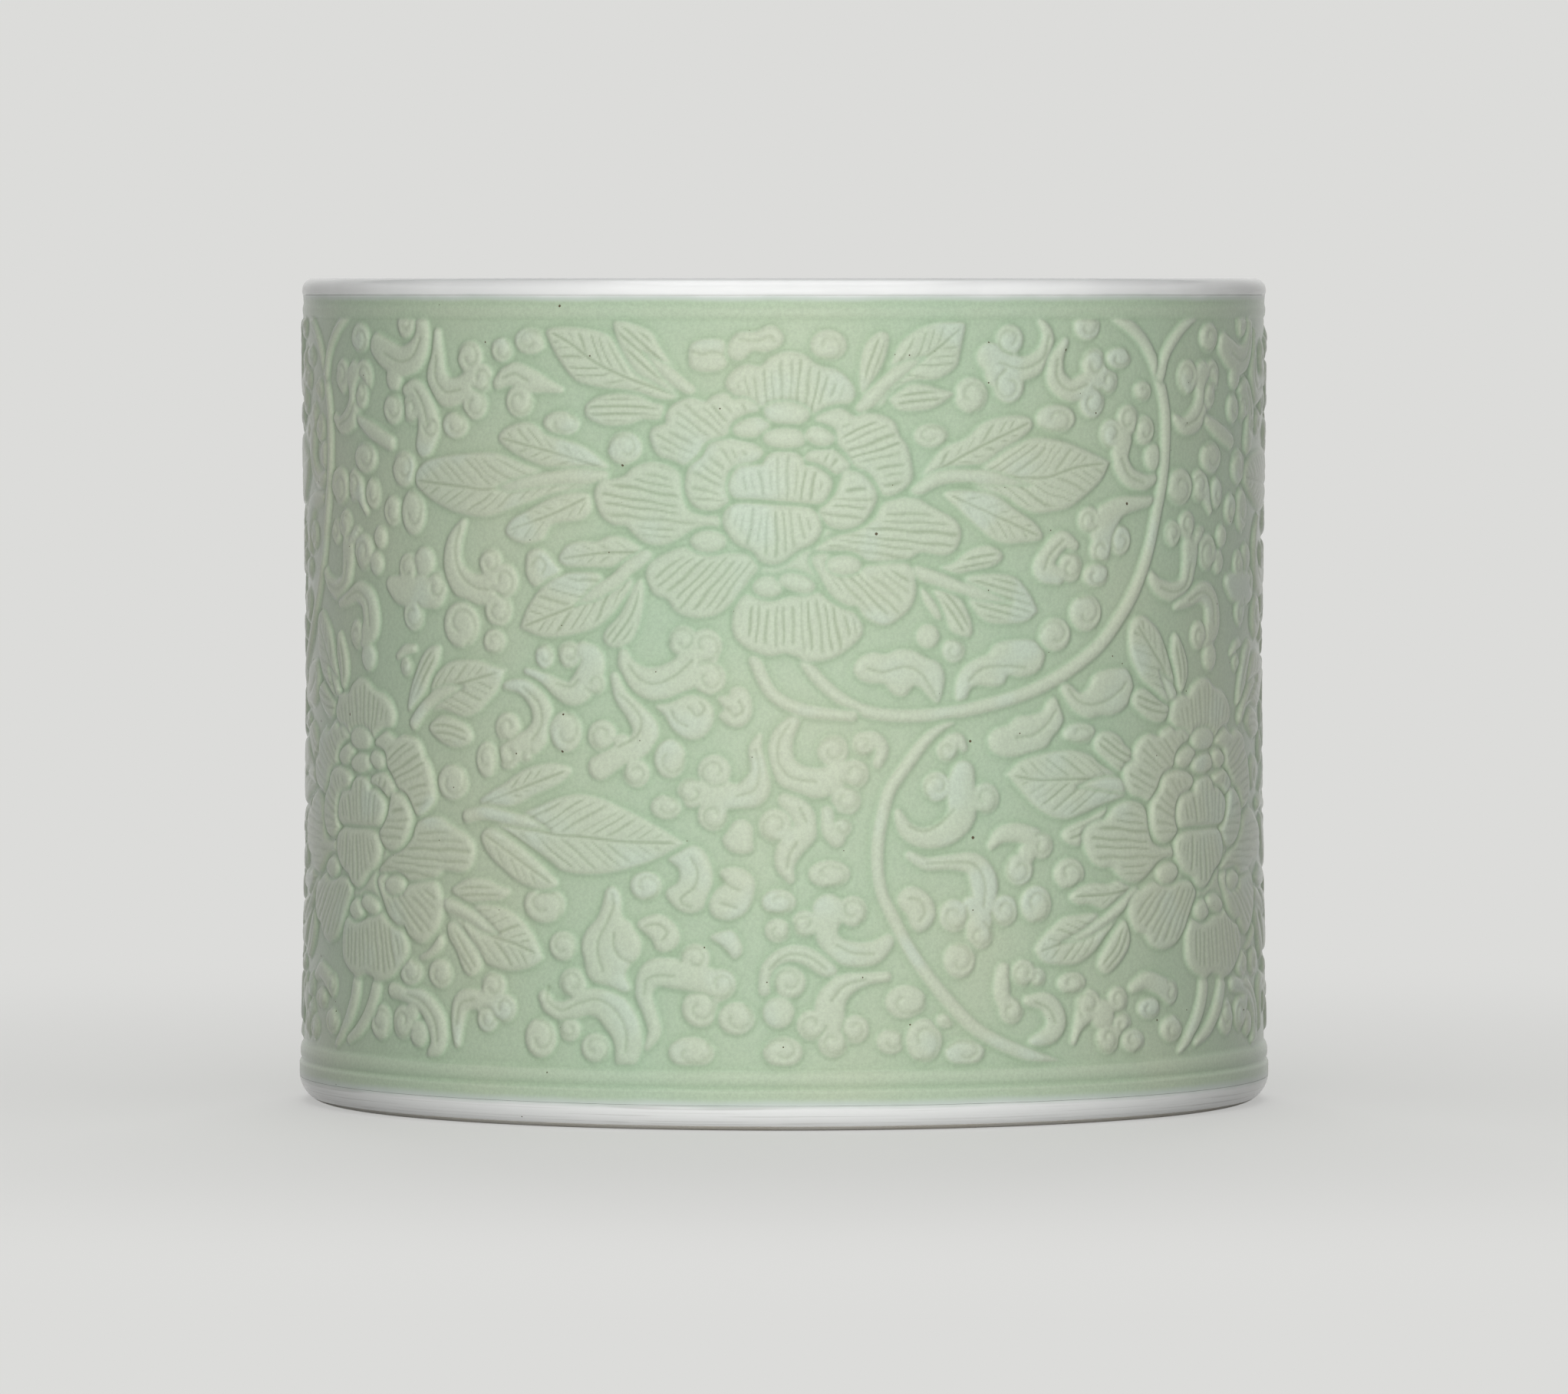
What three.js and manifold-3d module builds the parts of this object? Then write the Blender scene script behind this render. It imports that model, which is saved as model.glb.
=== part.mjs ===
// A large cylindrical porcelain brush pot with a white lip and foot and a carved, green-glazed wall.
// Millimetres, +Z up, origin at the middle of the standing surface.
import * as THREE from "three";
import { mergeVertices } from "three/addons/utils/BufferGeometryUtils.js";
import Module from "manifold-3d";

const wasm = await Module();
wasm.setup();

// Driving sizes
const HEIGHT = 162;
const LIP_RADIUS = 95; // the widest point of the rolled lip
const LIP_ROUND = 2.4; // rounding of the lip's outer and inner corners
const LIP_WIDTH = 8.6; // from the lip's outside to its inside
const LIP_OVERHANG = 0.7; // how far the lip stands out over the wall below it

const WALL_STEP = 0.6; // the carved wall's ground, inside the neck under the lip
const WAIST_DEPTH = 0.3; // how far the wall draws in further, at the waist
const WAIST_HEIGHT = 108;

const FLOOR_THICKNESS = 9.5;
const FLOOR_FILLET = 9; // rounding between the inner wall and the floor
const INNER_TAPER = 1.4; // how much narrower the inside is at the floor than at the lip

const FOOT_SPREAD = 0.7; // how far the widest point, just above the rounded foot, is outside the lip
const FOOT_STEP = 1; // from there in to the ground of the carved wall
const FOOT_ROUND_IN = 6.3; // the foot's rounding, inwards
const FOOT_ROUND_UP = 7.2; // and upwards
const FOOT_RING_WIDTH = 11.5; // the bare, flat ring that the pot stands on
const FOOT_CHAMFER = 0.8; // at the inner edge of that ring
const RECESS_DEPTH = 2.6; // of the glazed base above the standing surface

const GLAZE = 0.6; // thickness of every glaze coat
const BOND = 0.05; // between a coat and the clay under it, and between two coats that meet
const WHITE_LIP = 3.3; // height of the white band outside, below the lip's top
const LIP_GLAZE_INSIDE = 6; // how far the brushed lip glaze runs down inside
const WHITE_FOOT = 5; // height at which the green glaze begins, on the foot's rounding
const BARE_FOOT = 0.9; // height at which the white foot glaze begins

const BORDER_HEIGHT = 2.4; // raised bands above and below the carved wall
const BORDER_RISE = 0.5; // of those bands above the ground
const UPPER_BORDER_DROP = 4.7; // from the lip's top to the top of the upper band
const LOWER_BORDER_TOP = 12.3;
const GROOVE_HEIGHT = 1; // turned line under each band
const GROOVE_DEPTH = 0.25;

const MOTIF_RISE = 0.6; // of a motif's edges above the ground
const MOTIF_CROWN = 0.15; // how much higher a broad one is along its middle
const PETAL_DIP = 0.35; // how much lower a bloom is between two petals
const HEART_RISE = 0.3; // of a bloom's heart above its petals
const HEART_SHARE = 0.5; // of the way from a bloom's middle to its edge
const PETAL_SHARE = 0.58; // where the petals begin
const NOTCH_SHARE = 0.76; // where two petals part
const LEAF_END = 1.2; // a leaf's width where it begins and ends
const LEAF_TAPER = 0.85; // its width two thirds along, in parts of the width one third along
const VINE_WIDTH = 3.2;

// The carving is drawn flat, on a sheet as high as the carved field that goes round the wall this many
// times. Places on it are across and up, from the middle of its lower edge.
const REPEATS = 3;
const SHEET_WIDTH = 197.5;
const SHEET_HEIGHT = 142.6;

// A bloom's petals, anticlockwise about its middle, each with its width at the tip
const PETALS = [
  { tip: [23, 14], width: 8 },
  { tip: [1.5, 29], width: 14 },
  { tip: [-24, 16], width: 8 },
  { tip: [-36, 1.5], width: 9 },
  { tip: [-26, -14.5], width: 7.5 },
  { tip: [2.5, -28], width: 14 },
  { tip: [25, -17], width: 7 },
  { tip: [33.5, -5], width: 7 },
];

// Blooms on the sheet, the second turned a little, in degrees
const BLOOMS = [
  { middle: [0, 105.7], turn: 0 },
  { middle: [98.7, 42.2], turn: 4.3 },
];

const LEAVES = [
  { base: [14.8, 124.8], tip: [35, 141], width: 9 },
  { base: [-18, 128], tip: [-33, 141], width: 6.5 },
  { base: [-39, 111.3], tip: [-80, 111], width: 12.5 },
  { base: [37, 111.7], tip: [68, 114.3], width: 13 },
  { base: [34, 90.7], tip: [51.5, 86.3], width: 9.5 },
  { base: [-29, 93.5], tip: [-53.5, 82.8], width: 10 },
  { base: [-77, 68], tip: [-57, 75], width: 9 },
  { base: [-59, 45.7], tip: [-19, 42.5], width: 14.5 },
  { base: [-71, 28.3], tip: [-47.8, 20], width: 9 },
  { base: [88.5, 68], tip: [74.5, 84.3], width: 9 },
  { base: [76, 52], tip: [44, 55], width: 12.5 },
  { base: [75, 32], tip: [50, 21], width: 8.5 },
];

// Each vine through its points
const VINES = [
  [[70, 141], [83.5, 125], [81.5, 104.7], [66.5, 80], [41, 68.7], [17, 67.2], [4.5, 76.5]],
  [[31, 64.5], [24, 57.5], [18, 40], [23.8, 22.7], [36, 7.7], [52, -0.5]],
];

const SEGMENTS = 48; // around the axis
const WALL_STEPS = 3; // up the waisted wall
const LIP_STEPS = 3; // around each corner of the lip
const FOOT_STEPS = 2; // along each stretch of the foot's rounding
const FILLET_STEPS = 3;
const VINE_STEP = 11; // between two points along a vine
const BROAD = 10; // width from which a motif has a crown

// Depths and heights that follow
const clayDepth = GLAZE + BOND; // the clay's surface, below the finished one
const greenTop = HEIGHT - WHITE_LIP;
const upperBorderTop = HEIGHT - UPPER_BORDER_DROP;
const upperBorderBottom = upperBorderTop - BORDER_HEIGHT;
const neckRadius = LIP_RADIUS - LIP_OVERHANG;
const wallTopRadius = neckRadius - WALL_STEP;
const waistRadius = wallTopRadius - WAIST_DEPTH;
const footRadius = LIP_RADIUS + FOOT_SPREAD;
const wallBottomRadius = footRadius - FOOT_STEP;
const mouthRadius = LIP_RADIUS - LIP_WIDTH;
const floorTop = RECESS_DEPTH + FLOOR_THICKNESS;
const floorRadius = mouthRadius - INNER_TAPER;
const ringOuter = footRadius - FOOT_ROUND_IN;
const ringInner = ringOuter - FOOT_RING_WIDTH;
const recessGlazeRadius = ringInner - GLAZE;
const motifSeat = -GLAZE / 2; // a motif's underside, inside the coat
const heartRise = MOTIF_RISE + HEART_RISE;

const point = (radius, height) => new THREE.Vector2(radius, height);

// Points on a round about a centre, from one angle to another in degrees, with its two half axes.
function round(centre, across, up, from, to, steps) {
  return Array.from({ length: steps + 1 }, (_, i) => {
    const angle = THREE.MathUtils.degToRad(from + ((to - from) * i) / steps);
    return point(
      centre.x + across * Math.cos(angle),
      centre.y + up * Math.sin(angle),
    );
  });
}

// Stretches of the pot's surface at a depth below the finished glaze. Each runs up the outside, over
// the lip and down the inside, and has as many points at every depth.
const footCentre = point(ringOuter, FOOT_ROUND_UP);
const footAngle = (height) =>
  -THREE.MathUtils.radToDeg(Math.asin(1 - height / FOOT_ROUND_UP));

const footStretch = (depth, low, high) =>
  round(
    footCentre,
    FOOT_ROUND_IN - depth,
    FOOT_ROUND_UP - depth,
    footAngle(low),
    footAngle(high),
    FOOT_STEPS,
  );

const wallCurve = new THREE.SplineCurve([
  point(wallBottomRadius, LOWER_BORDER_TOP),
  point(waistRadius, WAIST_HEIGHT),
  point(wallTopRadius, upperBorderBottom - GROOVE_HEIGHT),
]);
const wallStretch = (depth) =>
  wallCurve.getPoints(WALL_STEPS).map((p) => point(p.x - depth, p.y));

const lipStretch = (depth) => [
  point(neckRadius - depth, greenTop + BOND),
  ...round(
    point(LIP_RADIUS - LIP_ROUND, HEIGHT - LIP_ROUND),
    LIP_ROUND - depth,
    LIP_ROUND - depth,
    0,
    90,
    LIP_STEPS,
  ),
  ...round(
    point(mouthRadius + LIP_ROUND, HEIGHT - LIP_ROUND),
    LIP_ROUND - depth,
    LIP_ROUND - depth,
    90,
    180,
    LIP_STEPS,
  ),
  point(mouthRadius + depth, HEIGHT - LIP_GLAZE_INSIDE),
];

const liningStretch = (depth) => [
  point(mouthRadius + depth, HEIGHT - LIP_GLAZE_INSIDE - BOND),
  ...round(
    point(floorRadius - FLOOR_FILLET, floorTop + FLOOR_FILLET),
    FLOOR_FILLET + depth,
    FLOOR_FILLET + depth,
    0,
    -90,
    FILLET_STEPS,
  ),
  point(0, floorTop - depth),
];

// A raised band with a turned groove under it, on a wall of the given radius.
const borderBand = (top, radius) => [
  point(radius - GROOVE_DEPTH, top - BORDER_HEIGHT - GROOVE_HEIGHT / 2),
  point(radius + BORDER_RISE, top - BORDER_HEIGHT),
  point(radius + BORDER_RISE, top),
];

// A closed ring or disc turned about the Y axis from a profile in the radius and height plane.
function turned(profile) {
  const onAxis = profile[0].x === 0 && profile.at(-1).x === 0;
  const closed = onAxis ? profile : [...profile, profile[0].clone()];
  return new THREE.LatheGeometry(closed, SEGMENTS);
}

// A coat between its finished surface and its underside.
const coat = (finished, underside) => turned([...finished, ...underside.toReversed()]);

// A closed geometry as a solid that can be joined and cut, and back.
function toSolid(geometry) {
  geometry.deleteAttribute("normal");
  geometry.deleteAttribute("uv");
  const merged = mergeVertices(geometry);
  return new wasm.Manifold(
    new wasm.Mesh({
      numProp: 3,
      vertProperties: merged.attributes.position.array,
      triVerts: new Uint32Array(merged.index.array),
    }),
  );
}

function toGeometry(solid) {
  const { vertProperties, triVerts } = solid.getMesh();
  const shared = new THREE.BufferGeometry();
  shared.setAttribute("position", new THREE.BufferAttribute(vertProperties, 3));
  shared.setIndex(new THREE.BufferAttribute(triVerts, 1));
  const geometry = shared.toNonIndexed();
  geometry.computeVertexNormals();
  return geometry;
}

// The wall's ground at a height.
const wallPoints = wallStretch(0);
const groundRadius = new THREE.LinearInterpolant(
  wallPoints.map((p) => p.y),
  wallPoints.map((p) => p.x),
  1,
);

// The place on the wall of a point on the sheet, raised above the ground or below it.
function onWall({ x, y }, rise, repeat) {
  const sheetTop = upperBorderBottom - LOWER_BORDER_TOP;
  const height = LOWER_BORDER_TOP + (y / SHEET_HEIGHT) * sheetTop;
  const radius = groundRadius.evaluate(height)[0] + rise;
  const angle = ((x / SHEET_WIDTH + repeat) * 2 * Math.PI) / REPEATS;
  return new THREE.Vector3(radius * Math.sin(angle), height, radius * Math.cos(angle));
}

// A bloom's edge about its middle: each petal's two corners, and the lower notch before the next petal.
function bloomEdge() {
  const corners = PETALS.map(({ tip, width }) => {
    const reach = new THREE.Vector2(...tip);
    const aside = new THREE.Vector2(-reach.y, reach.x).setLength(width / 2);
    return [reach.clone().sub(aside), reach.clone().add(aside)];
  });
  return corners.flatMap(([near, far], i) => {
    const next = corners[(i + 1) % corners.length][0];
    const notch = far.clone().lerp(next, 0.5).multiplyScalar(NOTCH_SHARE);
    return [
      { at: near, dip: 0 },
      { at: far, dip: 0 },
      { at: notch, dip: PETAL_DIP },
    ];
  });
}

// A bloom as a low rosette in one repeat of the sheet: rings from the middle of its underside round its
// edge to its raised heart.
function rosette({ middle, turn }, repeat) {
  const edge = bloomEdge();
  const rings = [
    { share: 0, rise: motifSeat },
    { share: 1 / 3, rise: motifSeat },
    { share: 2 / 3, rise: motifSeat },
    { share: 1, rise: motifSeat },
    { share: 1, rise: MOTIF_RISE, inPetals: true },
    { share: PETAL_SHARE, rise: MOTIF_RISE, inPetals: true },
    { share: HEART_SHARE, rise: heartRise },
    { share: 0, rise: heartRise + MOTIF_CROWN },
  ];
  const profile = rings.map(({ share, rise }) => point(share, rise));
  const geometry = new THREE.LatheGeometry(profile, edge.length);
  const place = geometry.attributes.position;
  for (let i = 0; i < place.count; i++) {
    const { share, rise, inPetals } = rings[i % rings.length];
    const { at, dip } = edge[Math.floor(i / rings.length) % edge.length];
    const spot = at
      .clone()
      .multiplyScalar(share)
      .rotateAround(new THREE.Vector2(), THREE.MathUtils.degToRad(turn))
      .add(new THREE.Vector2(...middle));
    place.setXYZ(i, ...onWall(spot, inPetals ? rise - dip : rise, repeat));
  }
  return toSolid(geometry);
}

// A line on the sheet as a low pad, as wide at even steps as its widths say.
function pad(line, widths, repeat) {
  const steps = widths.length - 1;
  const across = Math.max(...widths) > BROAD ? 2 : 1;
  const geometry = new THREE.BoxGeometry(1, 1, 1, across, steps, 1);
  const place = geometry.attributes.position;
  for (let i = 0; i < place.count; i++) {
    const share = place.getY(i) + 0.5;
    const aside = place.getX(i) * widths[Math.round(share * steps)];
    const along = line.getTangentAt(share);
    const spot = line.getPointAt(share).addScaledVector(new THREE.Vector2(along.y, -along.x), aside);
    const top = MOTIF_RISE + (aside === 0 ? MOTIF_CROWN : 0);
    place.setXYZ(i, ...onWall(spot, place.getZ(i) > 0 ? top : motifSeat, repeat));
  }
  return toSolid(geometry);
}

function leaf({ base, tip, width }, repeat) {
  const rib = new THREE.LineCurve(new THREE.Vector2(...base), new THREE.Vector2(...tip));
  return pad(rib, [LEAF_END, width, LEAF_TAPER * width, LEAF_END], repeat);
}

function vine(points, repeat) {
  const stem = new THREE.SplineCurve(points.map((p) => new THREE.Vector2(...p)));
  const steps = Math.round(stem.getLength() / VINE_STEP);
  return pad(stem, Array(steps + 1).fill(VINE_WIDTH), repeat);
}

const porcelain = new THREE.MeshStandardMaterial({
  color: 0xe9e3d6,
  roughness: 0.75,
  metalness: 0,
});
const greenGlaze = new THREE.MeshStandardMaterial({
  color: 0xb4ccaa,
  roughness: 0.22,
  metalness: 0,
});
const whiteGlaze = new THREE.MeshStandardMaterial({
  color: 0xe8eaea,
  roughness: 0.18,
  metalness: 0,
});

// The fired clay, from the glazed recess under the base out over the bare ring, up the wall and in.
const porcelainBody = () =>
  turned([
    point(0, RECESS_DEPTH + clayDepth),
    point(recessGlazeRadius + BOND, RECESS_DEPTH + clayDepth),
    point(recessGlazeRadius + BOND, RECESS_DEPTH),
    point(ringInner, RECESS_DEPTH),
    point(ringInner, FOOT_CHAMFER),
    point(ringInner + FOOT_CHAMFER, 0),
    ...footStretch(0, 0, BARE_FOOT),
    ...footStretch(clayDepth, BARE_FOOT, WHITE_FOOT),
    ...footStretch(clayDepth, WHITE_FOOT, FOOT_ROUND_UP).slice(1),
    ...wallStretch(clayDepth),
    ...lipStretch(clayDepth),
    ...liningStretch(clayDepth).slice(1),
  ]);

// The green glaze with its turned borders and the main motifs of the carving.
function celadonGlaze() {
  const finished = [
    ...footStretch(0, WHITE_FOOT, FOOT_ROUND_UP),
    ...borderBand(LOWER_BORDER_TOP, footRadius - BORDER_RISE),
    ...wallStretch(0),
    ...borderBand(upperBorderTop, wallTopRadius),
    point(neckRadius, greenTop),
  ];
  const underside = [
    ...footStretch(GLAZE, WHITE_FOOT, FOOT_ROUND_UP),
    ...wallStretch(GLAZE),
    point(neckRadius - GLAZE, greenTop),
  ];
  const ground = toSolid(coat(finished, underside));
  const inside = toSolid(turned([point(0, WHITE_FOOT), ...underside, point(0, greenTop)]));
  const carving = Array.from({ length: REPEATS }, (_, repeat) => [
    ...BLOOMS.map((bloom) => rosette(bloom, repeat)),
    ...LEAVES.map((each) => leaf(each, repeat)),
    ...VINES.map((each) => vine(each, repeat)),
  ]);
  const raised = carving.flat().reduce((all, motif) => all.add(motif));
  return toGeometry(ground.add(raised.subtract(inside)));
}

const lipGlaze = () => coat(lipStretch(0), lipStretch(GLAZE));

const liningGlaze = () => coat(liningStretch(0), liningStretch(GLAZE));

const footGlaze = () =>
  coat(
    footStretch(0, BARE_FOOT + BOND, WHITE_FOOT - BOND),
    footStretch(GLAZE, BARE_FOOT + BOND, WHITE_FOOT - BOND),
  );

const baseGlaze = () =>
  turned([
    point(0, RECESS_DEPTH),
    point(recessGlazeRadius, RECESS_DEPTH),
    point(recessGlazeRadius, RECESS_DEPTH + GLAZE),
    point(0, RECESS_DEPTH + GLAZE),
  ]);

// A named sub-part, with its axis set upright.
function subPart(name, geometry, material) {
  const mesh = new THREE.Mesh(geometry, material);
  mesh.name = name;
  mesh.rotation.x = Math.PI / 2;
  return mesh;
}

const pot = new THREE.Group();
pot.add(
  subPart("porcelain_body", porcelainBody(), porcelain),
  subPart("celadon_glaze", celadonGlaze(), greenGlaze),
  subPart("lip_glaze", lipGlaze(), whiteGlaze),
  subPart("lining_glaze", liningGlaze(), whiteGlaze),
  subPart("foot_glaze", footGlaze(), whiteGlaze),
  subPart("base_glaze", baseGlaze(), whiteGlaze),
);

export default pot;
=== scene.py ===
"""A large porcelain brush pot: a carved wall under a pale green glaze, with a white lip and foot.

Sizes are millimetres until they become a mesh. The carving is drawn on the unrolled wall as places
(u, z): u round the wall from the middle of the front, to the right, and z up from the standing surface.
"""

import math

import bmesh
import bpy
import numpy as np
from mathutils import Matrix, Vector


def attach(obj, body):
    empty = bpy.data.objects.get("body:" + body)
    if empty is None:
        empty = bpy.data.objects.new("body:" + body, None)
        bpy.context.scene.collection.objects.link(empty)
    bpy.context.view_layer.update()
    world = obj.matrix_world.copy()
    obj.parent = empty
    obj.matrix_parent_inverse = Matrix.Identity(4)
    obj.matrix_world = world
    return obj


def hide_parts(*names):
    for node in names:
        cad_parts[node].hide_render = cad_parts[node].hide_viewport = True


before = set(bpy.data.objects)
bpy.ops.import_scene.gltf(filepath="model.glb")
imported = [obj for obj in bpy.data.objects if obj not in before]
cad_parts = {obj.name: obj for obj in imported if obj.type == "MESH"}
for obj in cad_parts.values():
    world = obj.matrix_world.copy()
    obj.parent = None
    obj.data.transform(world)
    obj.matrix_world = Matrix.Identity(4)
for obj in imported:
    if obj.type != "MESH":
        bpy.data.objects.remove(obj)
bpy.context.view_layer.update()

MM = 0.001

# Camera, as far from the pot and as high as its rim
CAMERA_DISTANCE = 2356
CAMERA_HEIGHT = 162
CAMERA_DOWN = 2.01  # degrees
CAMERA_LENS = 274

# The pot's own sizes. The wall's outline is drawn from the photograph, and is a little fuller than the
# solids' wall.
HEIGHT = 162
LIP_RADIUS = 95
LIP_ROUND = 2.4
LIP_WIDTH = 8.6
LIP_GLAZE_INSIDE = 6
SEAM_RADIUS = 94.82  # where the lip's glaze meets the green
UPPER_LEDGE = ((94.7, 156.2), (94.68, 157.2))  # radii and heights, as in the next four
WALL_TOP = (94.6, 153.9)
WAIST = (93.75, 78)
WALL_BOTTOM = (94.7, 12.3)
LOWER_LEDGE = ((95.3, 8.4), (95.25, 11.3), (94.8, 12))
FOOT_TOP = 7.7
FOOT_RADIUS = 95.7
FOOT_ROUND_IN = 5
FOOT_ROUND_UP = 5.6
FOOT_RING_WIDTH = 12.8
FOOT_CHAMFER = 0.8
RECESS_DEPTH = 2.6
FLOOR_THICKNESS = 9.5
FLOOR_FILLET = 9
INNER_TAPER = 1.4
UPPER_BORDER = (154.6, 156.5)  # lowest and highest
LOWER_BORDER = (8.9, 10.9)
BORDER_RISE = 0.22
BORDER_EDGE = 0.7
GROOVE_DEPTH = 0.1
GROOVE_REACH = 0.5
TURNED_STEPS = 256

# The glaze, in coats with a hair of room between them
GLAZE = 0.6
BOND = 0.05
GREEN_TOP = 158.7
GREEN_BOTTOM = 5
BARE_FOOT = 0.9
LIP_FADE = (157.3, 159.2)  # heights between which the green thins to white
FOOT_FADE = (6.6, 4)
FADE_WAVER = 0.8
MOUTH_WHITE = 90  # radius within which all glaze is white
GREEN_SPECKS = ((6, 0.34, 0.35), (3, 0.17, 0.35))  # spacing, size, and share of the places
WHITE_SPECKS = (7, 0.3, 0.3)
GLAZE_REACH = 1  # columns over which the glaze rounds the carving
POOL_REACH = 4  # and over which it levels itself
POOL_ON_GROUND = 0.55
POOL_PER_HEIGHT = 0.5  # less for each mm that the carving stands up
POOL_PER_HOLLOW = 0.6  # more for each mm that a place lies below those round it

# The studio, in metres
FLOOR_REACH = 3.3
FLOOR_SWEEP = 1
FLOOR_STEPS = 96
BACKDROP_TOP = 2.6
LAMPS_AIM = (0, 0, 0.08)
ROOM_LIGHT = 0.08

# The carved wall, unrolled
PATTERN_RADIUS = 94.3
REPEATS = 3
REPEAT = 2 * math.pi * PATTERN_RADIUS / REPEATS
PANELS = 4  # in each repeat
PANEL_COLUMNS = 150
COLUMNS = PANELS * PANEL_COLUMNS
ROWS = 468
CARVED = (12.6, 154.1)  # lowest and highest
CARVED_EDGE = 0.5
CURVE_STEPS = 5
TINY = 1e-9  # keeps a division from nought

MOTIF_HEIGHT = 0.54
MOTIF_SHOULDER = 1.15
MOTIF_CROWN = 0.22
CROWN_REACH = 3.5
MOTIF_SPREAD = 0.35
PETAL_SPREAD = 0.5
PETAL_LIFTS = (0, 0.1, 0.2)  # outer, middle and inner
CORE_LIFT = -0.35
OVAL_LIFT = 0.12
LEAF_STEM_LIFT = 0.1
OUTLINE_CUT = 0.45
OUTLINE_WIDTH = 0.85
GROUND_CUT = 0.12
LINES_WIPED = 0.4  # how far outside its edge a motif wipes out older lines
COMB_CUT = 0.22
COMB_SPACING = 1.65
COMB_END = 0.6  # inside the petal's rim, and for some lines up to COMB_RAGGED farther in
COMB_RAGGED = 1.5
COMB_FADE = 1
VEIN_CUT = 0.18
VEIN_START = (0.3, 1.1)  # from the rib
VEIN_END = (0.9, 1.7)  # from the leaf's rim
CURL_CUT = 0.3
CURL_POINTS = 8
CURL_START = 0.95  # share of the knob's radius
CURL_INWARDS = 0.65
LINE_CUT = 0.26
BUD_POINTS = 12

# How far from its points each kind of motif marks the wall
PAD_REACH = 1.6
STEM_REACH = 3.2
SCROLL_REACH = 5
LINE_REACH = 1

# The carving, on the front third of the wall; the other two thirds repeat it. Where motifs meet, the
# later one lies in front, and a point given twice makes a sharp tip.

BLOOM_AT = (0, 118)
SECOND_BLOOM = (98.75, -63.5)  # from the first
SECOND_TURN = 4.3  # degrees

# Slant of a leaf's veins and their spacing; a leaflet's run beside its rib
BLADE = (1.5, 1.75)
LEAFLET = (None, 1.45)

# Each petal has its outline and the point that its combed lines fan out from.
OUTER_PETALS = (
    ([(-10.5, 140.5), (-10.8, 142.5), (-9.3, 144.6), (-7, 145.6), (-4.5, 145.3), (-2.5, 147),
     (0, 147.9), (2, 147.9), (4, 147.3), (6, 145.8), (8, 145), (9.8, 144.6), (11.7, 143.3),
     (13.1, 141.5), (13.4, 139.8), (12.3, 138.3), (10, 137.8), (7.5, 137), (5.5, 135.8), (0, 135),
     (-5, 136.5), (-9, 139)], (0, 112)),
    ([(-36.8, 120), (-36.5, 122.3), (-34.5, 123.5), (-31, 124.3), (-29, 126), (-26, 127),
     (-23, 126.8), (-20.5, 125.5), (-19.3, 123), (-19, 119.5), (-17.8, 117.8), (-15, 117),
     (-12.3, 116.8), (-12, 115), (-15, 115), (-18, 114), (-20, 112.8), (-23, 111.5),
     (-26.5, 111.8), (-29, 113.5), (-30.5, 115), (-33, 115.3), (-35.5, 117)], (30, 111)),
    ([(18.5, 118.5), (20, 119.8), (23, 120.3), (26, 120), (28, 118.8), (30, 117.8), (32.5, 116.5),
     (34, 114.8), (34.2, 112.5), (33, 110.3), (31, 109.5), (28.5, 109.8), (26, 110),
     (23.5, 108.5), (20, 107.7), (17, 108), (14.8, 109), (12, 110.2), (8, 110), (6, 110.5),
     (8, 112), (11, 113.5), (15, 115), (17.5, 116.5)], (-30, 118)),
    ([(-9.5, 98.5), (-8.5, 101.5), (-6, 102), (-3, 101.2), (0, 101.3), (3, 102.3), (6, 102.6),
     (8.5, 101), (11, 99.8), (13, 99), (14.7, 96.5), (14.5, 94), (11, 91), (8, 89.7), (5, 89.5),
     (2, 90.5), (0, 91), (-3, 90.5), (-7, 92), (-9.5, 94.5)], (0, 150)),
    ([(-26.5, 105.5), (-25.5, 108), (-22, 110), (-19, 110.8), (-15, 110), (-10, 109.8),
     (-6.5, 109.5), (-5, 107.5), (-6, 105.5), (-8.5, 102.5), (-10, 100.5), (-13, 98.3),
     (-17, 97.7), (-20.5, 98.8), (-22.5, 101.2), (-25, 102.2)], (10, 131)),
    ([(5.5, 109), (7, 105.5), (9, 102), (12, 100), (14, 99.8), (15.5, 97.8), (19, 96.3),
     (22, 97.5), (24.5, 100), (25.3, 103.5), (24, 107.5), (21, 107.8), (14, 107.5), (9, 109.5)],
     (-6, 124)),
)
MIDDLE_PETALS = (
    ([(-25.5, 131.5), (-25, 133.5), (-22.5, 134.5), (-22.5, 136), (-21, 138), (-18, 139.2),
     (-15, 138.5), (-13.5, 139.5), (-11, 140), (-9.5, 139), (-7, 138.8), (-5, 137), (-7, 136.2),
     (-9.5, 134.5), (-11, 132), (-14.5, 130.5), (-16.5, 128), (-18.5, 126.5), (-21, 127.5),
     (-24, 128.5)], (6, 117)),
    ([(6, 135.2), (8.5, 136.8), (11, 137.2), (13.5, 135.8), (16, 136.3), (19, 135.8), (21, 134.5),
     (22, 132), (23.5, 130), (24.5, 126), (24.3, 123.5), (22, 121.5), (19.5, 120.8), (18, 122),
     (16.5, 124.5), (14.5, 125.5), (13, 126), (11.5, 129), (9.5, 131.5), (9.5, 133.5)],
     (-14, 120)),
)
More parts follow.
